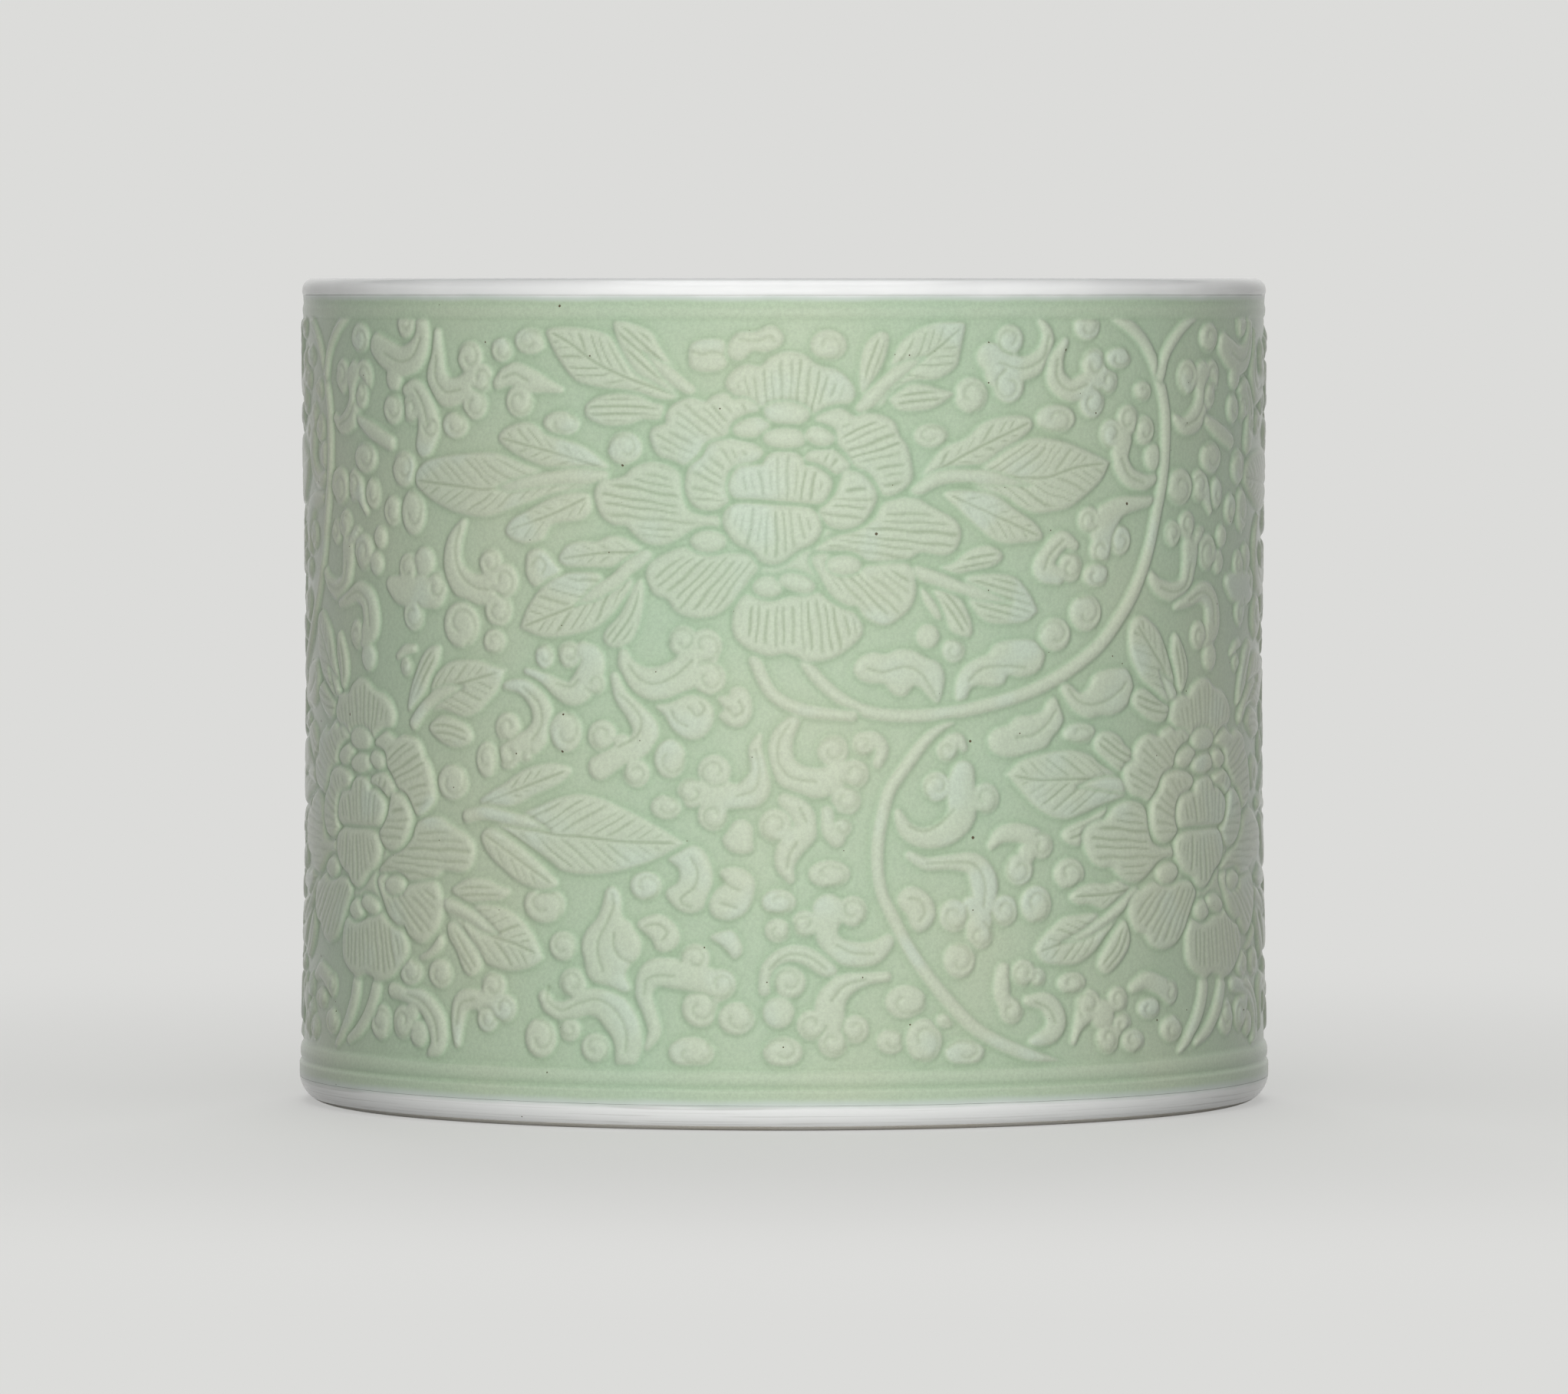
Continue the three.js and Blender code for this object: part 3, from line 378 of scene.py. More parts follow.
# Each scroll has a tail of places with half widths, then its knobs and lobes with radii, then cut lines.
SCROLLS = (
    ([(50.5, 154.8, 0.5), (52.8, 151, 1.3), (51.5, 146.8, 2), (47, 144.8, 2.4), (42, 146, 2.8),
     (40.3, 147, 2.8)], [(44.4, 150.3, 2.9), (44.2, 141.6, 3.3)], [(42, 144, 3)]),
    ([(56.8, 149.8, 0.8), (54.8, 146.5, 1.6), (54.8, 142.8, 2.2), (58, 140.6, 2.2),
     (62, 141.8, 2.4), (65.5, 143, 2.6)],
     [(63.8, 145.6, 3), (67.3, 142.3, 2.5), (63.3, 138.4, 3.1)]),
    ([(71.5, 131, 2.4), (70.8, 127.5, 2.2), (73, 124.2, 2), (77, 122.8, 1.7), (80.8, 123.4, 1)],
     [(68.4, 132.2, 2.8), (72.8, 134.8, 2.9), (77.5, 132.8, 2.8)], [(80.2, 127.6, 2.6)]),
    ([(80.4, 119.3, 0.9), (75.5, 118.9, 1.4), (71, 118.2, 2), (67.3, 116, 3)],
     [(62.9, 115.8, 2.6), (71, 111.8, 2.8), (66, 110, 2.7)], [(66.5, 114, 3.5)]),
    ([(59.5, 111, 1), (56.5, 112, 1.8), (53.5, 109.3, 2), (52.2, 106.5, 2.3), (55.5, 105.3, 1.8)],
     [(58.4, 106.9, 2.9)]),
    ([(86.8, 135, 0.8), (90, 133.6, 1.7), (94.5, 135.2, 2.6), (97, 138.5, 2.9), (96.5, 143, 3)],
     [(91, 143, 3.3), (100.3, 143, 3.2)]),
    ([(79.6, 105, 1), (82.5, 102.6, 1.6), (87, 101.6, 1.9), (91, 103, 2), (92.5, 107, 2.4),
     (93, 110, 3)], [(86.6, 112.8, 2.5), (91.5, 114.3, 2.8), (96.2, 111, 3.1)]),
    ([(88, 98.8, 0.7), (92, 99.8, 1.3), (97, 101.3, 2), (101, 99.5, 2.8), (102, 95, 3),
     (99, 92.5, 2)], [(96.3, 93, 2.8)], [(100.9, 88.8, 2.7)]),
    ([(40.8, 54, 0.8), (43, 56, 1.6), (46.5, 56.3, 1.9), (50, 55.3, 2)],
     [(51.8, 53.8, 2.6), (46.8, 49.3, 3)], [(48.5, 52.3, 2)]),
    ([(43.3, 30, 1.6), (42.8, 26, 1.7), (43.6, 23.5, 1.6)], [(44.8, 22.5, 2.6)]),
    ([], [(47.5, 29.5, 2.6), (50.5, 28.6, 1.9)]),
    ([(48.5, 24.3, 1), (52.5, 23.8, 1.9), (54.8, 20.5, 2.3), (53.5, 17.8, 1.9), (49.5, 16.3, 1)],
     [], [], [[(50, 24), (53, 22.5), (54.3, 20)]]),
    ([(58.8, 16, 0.6), (60, 19, 1.2), (62, 22, 2.5)],
     [(62.5, 23, 3), (70, 23.6, 2.6), (71, 18.9, 2.5), (67.3, 16.3, 2.9)], [(66, 21, 3)]),
    ([(74.2, 25.8, 1), (78, 27, 1.7), (82, 25.7, 2), (85, 24.6, 2.2)], [(85.3, 24.5, 2.4)]),
    ([], [(33, 91.3, 2.3)], [(27.8, 94, 2.3)]),
    ([(2, 78.4, 1.2), (-0.4, 74.5, 2.2), (-0.4, 70, 2.6), (2.5, 67, 2.9), (7, 66.3, 2.9),
     (11, 68, 2.6)], [(9.3, 72.4, 3), (13.4, 68, 2.8), (11.8, 63, 2.9)], [],
     [[(1, 77.5), (-1, 74), (-1, 70), (1.5, 67.3), (6, 66.5)]]),
    ([(18, 70, 1), (18.8, 72.5, 1.3), (17.5, 74.5, 1.4), (15, 74, 1.9)], [(15.2, 73.5, 2.2)]),
    ([(35, 72.8, 0.9), (34, 74.3, 1.2), (32.5, 73.8, 1.6)], [(31.8, 72.3, 2.2)]),
    ([(21.8, 60.5, 0.8), (23.5, 57.3, 1.6), (27, 55.7, 2), (31.5, 56.7, 2.5), (34.7, 60, 2.9),
     (34.5, 65, 3), (35, 68, 2.3)], [(29.6, 65.4, 2.8), (39.5, 63, 3)], [],
     [[(24, 58), (27, 57), (30, 58.3), (33, 61)]]),
    ([(1.2, 48, 0.8), (0.2, 51, 1.9), (1.5, 54.5, 2.6), (4.2, 57.5, 2.4), (3, 61, 2.2),
     (0.2, 63, 1.4)], [(-1.6, 58.2, 3.2)], [], [[(0.6, 50), (1, 52.5), (2.5, 55)],
      [(3, 61.5), (4.2, 59)]]),
    ([(8.2, 60.8, 1.2), (8.6, 57.5, 1.6), (10, 55.8, 1.7)], [(11, 57.9, 1.9)]),
    ([(8.5, 42, 3.2), (8, 38, 2.2), (9.5, 35, 2.4), (13, 33.7, 2.4), (17, 34, 2.2),
     (20.3, 36.5, 1.2)], [(4, 39.5, 2.6), (13, 41.9, 2.9)], [],
     [[(10, 35.5), (13, 34), (17, 33.8)]]),
    ([(-3.6, 27, 1.2), (-2.8, 31, 1.5), (0.5, 33.6, 1.7), (4.5, 33.3, 1.8), (8, 31, 1.6),
     (10, 29.6, 0.8)],),
    ([], [(1, 28.5, 3.1)], [(-1, 22.7, 3)]),
    ([(19.6, 29.4, 0.9), (15.5, 29, 1.2), (11.5, 27.8, 2.2), (9, 25, 2.8), (8.5, 21, 3)],
     [(5.3, 20.3, 2.9), (13.4, 19.5, 2.7), (9.2, 17, 2.8)]),
    ([(24.2, 52.4, 0.8), (27.5, 50.8, 1.2), (32, 51, 1.4), (37, 50.5, 2.2), (39.2, 47, 2.9),
     (39, 42.5, 2.3), (38, 38.5, 2.6)], [(33, 40.8, 3.1), (43.4, 41.6, 3), (38.2, 37, 2.7)],
     [(36.5, 42.5, 2)]),
    ([(-26.5, 16, 0.9), (-24.8, 18.8, 1.3), (-25.8, 22.5, 1.4), (-26.9, 26.5, 1.8),
     (-25, 30, 2.6), (-21, 30, 2.9), (-16, 29, 2.8), (-12.5, 27.5, 3)],
     [(-17, 32.8, 2.9), (-12, 28, 2.9), (-15.9, 23.4, 3.5)], [],
     [[(-26.7, 26), (-26.3, 28.7), (-24, 29.6), (-21, 29.5)]]),
    ([(-47.5, 25, 1.3), (-46, 23, 1.6), (-42.5, 22.5, 2), (-38, 24.3, 2.6), (-34, 23.6, 3.3),
     (-31, 20, 3.4), (-30, 16, 2.8), (-30.5, 12.8, 2)], [(-41.3, 27.8, 2.9), (-42, 19, 2.3)], [],
     [[(-46.8, 27), (-46.5, 24.3), (-43.5, 22.6), (-40, 24), (-36, 24.8), (-32.5, 22.8),
      (-30.3, 19), (-30.3, 15)]]),
    ([(-87, 24.8, 1.5), (-82, 24.2, 1.7), (-77.5, 23, 2.2), (-73.8, 19.5, 2.6), (-73, 15.5, 2.2),
     (-75, 12.8, 1.2)], [(-83.3, 18.8, 3.3)], [(-78.5, 16.8, 2.6), (-80.5, 20.8, 2)]),
    ([(-68, 15.5, 0.9), (-68, 19, 1.6), (-67, 23, 2.2), (-63.5, 24, 2), (-59, 22.5, 2.2)],
     [(-59.2, 26.6, 2.9), (-56.6, 22.6, 2.8), (-60.5, 20.4, 2.5)]),
    ([(-88.3, 103, 1.5), (-85, 102, 2.8), (-80, 102, 3.3), (-75, 101.8, 3.2)],
     [(-81, 97.3, 3), (-82.4, 106.2, 2.9), (-74.3, 102.8, 3)], [(-77.6, 107.5, 2.9)]),
    ([(-66.8, 115.3, 0.8), (-69.3, 111.5, 1.9), (-69.7, 107, 2.5), (-67, 103.5, 3),
     (-62.5, 102.5, 3), (-58, 103.5, 3.3)],
     [(-60.2, 107.7, 2.7), (-57, 104.3, 3.3), (-58.4, 98.7, 3.2)], [],
     [[(-67.5, 114.5), (-68.8, 110), (-67.5, 105.5), (-64, 103), (-60.5, 102.5)]]),
    ([(-51.8, 87, 0.7), (-48.5, 86, 1.2), (-45, 84, 1.8), (-41.5, 83, 2.4), (-38.5, 86, 2.8),
     (-37.5, 89.5, 2.4), (-39.5, 91.5, 1.5)], [(-42.4, 90.4, 2.6), (-37, 85, 2.2)], [],
     [[(-45, 84.8), (-42, 84.3), (-40.5, 85.5)]]),
    ([(-31.4, 91.5, 0.8), (-30.3, 88, 1.9), (-27, 85.3, 2.9), (-22.5, 85.3, 3.4),
     (-18.5, 87.5, 3.4), (-15.5, 91, 3.2)],
     [(-19.3, 93.2, 2.9), (-15, 92.3, 3.2), (-14.4, 86.2, 3.3)], [],
     [[(-30, 88.5), (-28, 86), (-25, 85), (-21, 86.5), (-17.5, 89.5)]]),
    ([(-33, 86.3, 0.9), (-31.5, 82.5, 1.5), (-28.8, 79.5, 2), (-26.7, 76, 2.6), (-28.5, 73, 2.4),
     (-32.5, 71, 2.2), (-36, 69, 2.4)], [(-35.5, 75, 3), (-28.6, 68, 2.7)], [(-31.5, 73.5, 2)],
     [[(-32, 83), (-29.5, 81), (-27.5, 78), (-28.5, 75), (-32, 73)]]),
    ([(-57.2, 84.3, 0.7), (-52.5, 84, 1.6), (-49, 81, 2.2), (-48.3, 77, 2.4), (-50.5, 73.8, 2.6),
     (-54, 72.5, 2.8)], [(-56.2, 76.2, 2.9), (-56, 71, 2.8), (-51.8, 71, 1.7)]),
    ([(-4.6, 75.2, 0.5), (-5.4, 72.6, 1.3), (-4.7, 68.5, 1.7), (-5.6, 65, 2.9), (-9, 63.8, 2.4),
     (-14, 64.5, 3.4)], [(-13.3, 68.4, 3.2), (-17.6, 64.4, 2.9), (-13.5, 60.2, 3)]),
    ([(-77.8, 154.8, 1.4), (-77.6, 150.5, 2.2), (-80, 147, 3), (-84, 146, 3), (-89, 147.5, 3),
     (-92, 149, 2.5)], [(-82.5, 153.3, 2.8)], [(-86.3, 142.8, 2.6)]),
    ([(-73.3, 151.4, 1), (-73.3, 147, 1.7), (-73.5, 143, 2.8), (-71, 140.3, 3), (-67, 140.7, 2.6),
     (-63, 142.7, 2.9)], [(-64.8, 146.9, 3.1), (-62, 143, 2.8), (-63.7, 138, 3)]),
    ([(-44, 140.8, 0.6), (-47.5, 141.7, 1.5), (-50.5, 142.5, 2.3), (-54.5, 143.7, 2.3),
     (-58, 142, 1.2)], [(-53, 138.6, 3.1)], [], [[(-56.5, 143), (-54, 143.8), (-51, 142.5)]]),
    ([(-82.5, 140.5, 1.2), (-79.5, 140.8, 1.9), (-77, 137.5, 2.6), (-76, 133.5, 3),
     (-77.2, 130, 2.5)], [(-80.9, 136.9, 2.8), (-75, 133.7, 2.3)]),
    ([(-86, 89.2, 0.7), (-83.5, 90.5, 1), (-81, 90.8, 0.8)], [(-83.3, 87.3, 1.8)]),
    ([(-99, 134.5, 1), (-94, 132.5, 1.7), (-87.8, 130.3, 1.5)],),
    ([], [(-98, 109, 3.5)], [(-91.8, 112, 2.2), (-93.3, 107, 2.3)]),
    ([(96.8, 123.5, 1.5), (98.5, 120.5, 1.8), (100.5, 117, 0.8)], [(96.2, 121.9, 3.2)]),
    ([(-91, 27, 0.6), (-88.5, 29.3, 1.1), (-86, 31.5, 0.5)],),
)

# Each cloud has its outline, and most have cut lines.
CLOUDS = (
    ([(33.6, 81.5), (33.5, 85), (35, 88), (38, 89.8), (40, 90.5), (42, 92.5), (46, 93.2),
     (50, 93), (52.6, 91), (52, 88), (50, 86.5), (47, 86), (44.5, 86.3), (43.5, 84.8), (41, 84.2),
     (38, 84.5), (36.5, 83.8), (35.5, 81.8)], [[(36, 85.5), (39, 87.8), (44, 88.2), (48, 87.8)]]),
    ([(13.3, 88), (14.5, 90), (17, 91), (19.5, 90.7), (22, 91.5), (25, 91.3), (27.5, 90),
     (30, 89), (31.2, 86.5), (30.8, 83.5), (29.8, 81.3), (28, 82.5), (26.5, 84), (25, 84.5),
     (23.5, 82.8), (21.5, 82.8), (20, 84), (19, 85), (16, 85.2), (14, 86.3)],
     [[(16, 88), (19, 87.3), (23, 88.3), (26, 87.3), (28, 84.8), (29.5, 82.3)]]),
    ([(56, 84.5), (57.5, 85), (59, 84), (61, 82.8), (63, 83.8), (64.5, 86), (67, 87), (70, 87.3),
     (73, 87), (74.8, 84.5), (74.5, 81.5), (72, 79.3), (69, 78.3), (66, 78.3), (63, 77.8),
     (60, 79), (57.5, 81.5)],
     [[(58, 83.5), (60, 81.5), (63, 80.5), (67, 81), (71, 83), (72.5, 84.5)]]),
    ([(40.3, 73.5), (40.5, 75), (42, 76.3), (44.5, 77), (46.5, 78.5), (49.5, 78.8), (52, 79.5),
     (53.5, 81.5), (55, 82), (56, 80.5), (57, 77.8), (56, 75.8), (54.5, 74.5), (53, 72.5),
     (50, 71.3), (46, 70.8), (43, 71), (41, 72)], [[(46, 74.5), (50, 75), (53, 77), (55, 79.5)]]),
    ([(-33, 46.3), (-31.6, 44.5), (-31.3, 41), (-29.3, 39.3), (-27.6, 36.5), (-27.7, 33.5),
     (-29.5, 31.5), (-30.5, 29.5), (-29.5, 27), (-31, 26.3), (-34, 27.3), (-37, 28),
     (-38.5, 29.5), (-39, 32), (-39.8, 35), (-38.5, 38), (-36.3, 40.5), (-35.2, 43.5),
     (-34.5, 45.8)], [[(-33.3, 45), (-33, 42.5), (-34.5, 39), (-36, 36), (-36, 33), (-35, 30.3)],
      [(-32.8, 37.5), (-32.9, 35), (-31.5, 33), (-29.5, 32)]]),
    ([(-22.3, 52), (-20, 53.5), (-17.5, 54.3), (-15.5, 53.5), (-14, 51), (-13.5, 48), (-14, 44.5),
     (-15.5, 42.3), (-18, 41.5), (-20.5, 42.3), (-22.5, 44.5), (-22.3, 46), (-20.5, 47.2),
     (-20, 48.5), (-20.3, 50), (-21.5, 51)],
     [[(-17.8, 52), (-16.5, 49.5), (-17, 46.5), (-19.5, 44.5), (-19.3, 43.3), (-17.8, 42.8)]]),
    ([(-12.2, 49.5), (-9.5, 50.3), (-7, 49.5), (-5.5, 47.5), (-6, 44), (-7.5, 41.5),
     (-10.5, 40.2), (-13.5, 41), (-14.3, 43.5), (-13, 46), (-11.5, 47.2)],
     [[(-12, 48), (-10, 46.5), (-8.5, 46)], [(-12, 43.5), (-10.5, 43), (-9, 42.6)]]),
    ([(-11.7, 55.5), (-10.5, 57.5), (-9.5, 59), (-7.5, 59.3), (-6, 58), (-5.9, 55.5), (-6, 53.5),
     (-8, 52.8), (-10.5, 53.5)],),
    ([(-28.3, 39), (-27, 40.5), (-24, 41.2), (-21.5, 40), (-20, 37.8), (-20.3, 35.5), (-22.5, 34),
     (-24.5, 34.5), (-25.5, 36.5)], [[(-26.5, 39), (-24, 39.3), (-22.3, 37.8), (-23.3, 36.3)]]),
    ([(-14, 37), (-12, 38), (-9.8, 38.2), (-8.2, 36), (-8, 34), (-9.5, 33), (-10.5, 34),
     (-12, 35.5)],),
    ([(-52, 107), (-51.5, 109.5), (-49.5, 110.6), (-47.5, 110), (-45.5, 108), (-44, 106.5),
     (-45, 104.5), (-47, 104), (-48.5, 103), (-50.5, 103.5), (-51.8, 105.3)],
     [[(-50.3, 107.3), (-49, 108.8), (-47.3, 107.5), (-48, 105.8)]]),
    ([(-24.8, 80.8), (-22, 81.5), (-18.5, 83), (-15.5, 82.5), (-13.5, 80.5), (-13.6, 77.5),
     (-15.5, 75), (-18.5, 74.5), (-21.5, 76.5), (-23, 79)],
     [[(-21.7, 80), (-20.5, 78), (-18.5, 77)],
      [(-18.2, 80.5), (-16.6, 79), (-15.2, 80.2), (-16, 81.6)]]),
    ([(-12.8, 82.5), (-10.5, 83), (-10, 84.3), (-7.5, 84.3), (-6.2, 82), (-6.2, 79), (-8, 77),
     (-10.5, 77.2), (-12.5, 79), (-11.5, 80.3)],
     [[(-10.8, 80.5), (-9.5, 79), (-7.8, 80), (-8.6, 81.8)]]),
    ([(21.7, 44.5), (23.5, 46.3), (26, 46.2), (28.5, 44), (29.3, 41), (28, 38.8), (26, 37.8),
     (24.3, 38.8), (23.5, 41), (22, 42.5)], [[(24, 44.3), (26, 43.8), (27, 41.5), (26, 40)]]),
    ([(-79.5, 31), (-76, 33), (-73, 36), (-72, 34), (-75, 31.5)],),
    ([(-18, 145.7), (-17.7, 149.3), (-15, 150.4), (-10.8, 149.9), (-10.6, 147), (-11.4, 144.9),
     (-14.7, 144.2), (-17, 144.7)],
     [[(-17.3, 148.1), (-15.3, 147.6), (-13.4, 148.1), (-11.4, 147.5)]]),
    ([(-10.5, 147.3), (-10.3, 149.9), (-8.5, 151.7), (-5.3, 151.9), (-3.3, 152.9), (-1.4, 152.7),
     (-0.1, 150.9), (-0.9, 148.9), (-3.3, 147.9), (-5.9, 148.1), (-8.2, 146.3)],
     [[(-8.2, 150.4), (-4.9, 150.2), (-2.7, 151), (-1.7, 150)]]),
)

# Each bud has its place, half its width and half its height.
BUDS = (
    (8.4, 149.3, 3.4, 2.9), (28.3, 132.1, 3.4, 2.3), (36.3, 139.8, 3.4, 3.4),
    (62, 152.8, 3.1, 2.6), (70.1, 146.7, 3.3, 2), (54.8, 135.2, 4.5, 2.7),
    (76.8, 140.3, 2.5, 1.9), (64.8, 105.2, 3.2, 2.2), (88.8, 121.8, 4.3, 3.5),
    (55, 94, 3.6, 3.2), (62.3, 98, 3.9, 3.5), (60.9, 75, 4, 2), (58.2, 48.2, 3.6, 3),
    (50.4, 42.6, 3.5, 3.6), (58.5, 27.3, 3.3, 2.1), (74, 15.6, 3.1, 2.2), (85.6, 17.4, 3.5, 2.5),
    (8.6, 49, 4, 2.6), (-1, 43.7, 3.2, 2.4), (-1.2, 38.3, 2.4, 2.3), (-0.2, 15.2, 3.7, 3),
    (34, 32.3, 3.2, 3.4), (23.3, 24.6, 4, 3.2), (20.4, 17.1, 2.8, 2.4), (26.8, 17.2, 3.6, 4.2),
    (31.1, 21, 1.8, 1.5), (35, 14.8, 4, 2.6), (-47.7, 42.6, 4.5, 3.5), (-26.6, 46.6, 3.1, 2.7),
    (-9, 21.6, 3.5, 3.1), (-17.6, 15, 4.4, 3), (-36.5, 15.6, 3, 2.8), (-48.2, 17.2, 3.4, 3.8),
    (-43.5, 34.8, 3, 2.8), (-81.3, 28.5, 3.4, 2.6), (-72.8, 28.6, 3.2, 2.8),
    (-90.8, 18.5, 3.6, 3.4), (-67.6, 95.7, 4.6, 4.4), (-59.4, 92.6, 2.6, 2.4),
    (-47.8, 90, 2, 2.4), (-21.9, 70.8, 3.1, 3.7), (-43.2, 75.7, 3.4, 3.9), (-61.2, 70, 2.6, 3.4),
    (-70, 65.4, 4, 3.4), (-22.7, 61.6, 3, 2.3), (99, 150.5, 3.5, 2.8), (-57, 148.3, 2.5, 2.3),
    (-50.5, 150, 3.5, 2.5), (-86.8, 136.8, 3.1, 2.9), (-68.8, 133.9, 3.3, 2.5),
    (-83.5, 125.3, 3.6, 3.4), (-87.4, 117.2, 2.8, 2.9), (-80.8, 117, 3.5, 4.3),
    (-98, 139.5, 2.1, 2.7), (-97, 127.3, 4.2, 3), (-94.3, 120.5, 2.6, 3),
    (-30.7, 129.7, 3.5, 3.2), (-43.9, 134.3, 3.9, 2.4), (78.8, 21.7, 3.3, 2.1),
)


def smoothstep(low, high, x):
    t = np.clip((x - low) / (high - low), 0, 1)
    return t * t * (3 - 2 * t)


def flowing(points, closed=False):
    """Points along a smooth curve through the given ones, which may hold a half width too."""
    p = np.array(points, float)
    if closed:
        p = np.concatenate([p[-1:], p, p[:2]])
    else:
        p = np.concatenate([2 * p[:1] - p[1:2], p, 2 * p[-1:] - p[-2:-1]])
    a, b, c, d = p[:-3], p[1:-2], p[2:-1], p[3:]
    steps = [
        b + 0.5 * t * (c - a + t * (2 * a - 5 * b + 4 * c - d + t * (3 * b - 3 * c + d - a)))
        for t in np.arange(CURVE_STEPS) / CURVE_STEPS
    ]
    curve = np.stack(steps, 1).reshape(-1, p.shape[1])
    return curve if closed else np.concatenate([curve, p[-2:-1]])


def to_line(place, line):
    """From each place to each stretch of a line: the distance, and the share along the stretch."""
    start, run = line[:-1, :2], np.diff(line[:, :2], axis=0)
    off = place[..., None, :] - start
    share = np.clip((off * run).sum(-1) / np.maximum((run**2).sum(1), TINY), 0, 1)
    away = off - share[..., None] * run
    return np.sqrt((away**2).sum(-1)), share


def outline_depth(place, outline):
    """How deep each place lies inside a closed outline; negative outside it."""
    line = np.concatenate([outline, outline[:1]])
    distance = to_line(place, line)[0].min(-1)
    u, z = place[..., 0, None], place[..., 1, None]
    (u0, z0), (u1, z1) = line[:-1].T, line[1:].T
    crossed = (z0 > z) != (z1 > z)
    at = u0 + (z - z0) / np.where(z1 == z0, TINY, z1 - z0) * (u1 - u0)
    inside = (crossed & (u < at)).sum(-1) % 2 == 1
    return np.where(inside, distance, -distance)


def stroke_depth(place, line):
    """How deep each place lies inside a stroke that has the line's own half widths."""
    distance, share = to_line(place, line)
    return (line[:-1, 2] + share * np.diff(line[:, 2]) - distance).max(-1)


def engraved(distance, half_width=0.5):
    """1 on a line and 0 beside it."""
    return smoothstep(half_width, 0, distance)


def uneven(n, seed=0.0):
    """A number from 0 to 1 that looks random, the same each time for the same n."""
    return np.mod(np.sin(n * 12.9898 + seed * 4.1414) * 43758.5453, 1)


def stray(across, share, often, start):
    """How far hand-cut lines stray, as a share of their spacing."""
    return share * np.sin(often * across + start)


def pressed(line, seed, least):
    """How hard each hand-cut line is pressed, from least to 1."""
    return least + (1 - least) * uneven(line, seed)


def ruled(across, spacing, half_width=0.5):
    """Lines side by side: the number of the nearest one, and how deep a place lies in it."""
    line = np.round(across)
    return line, engraved(np.abs(across - line) * spacing, half_width)


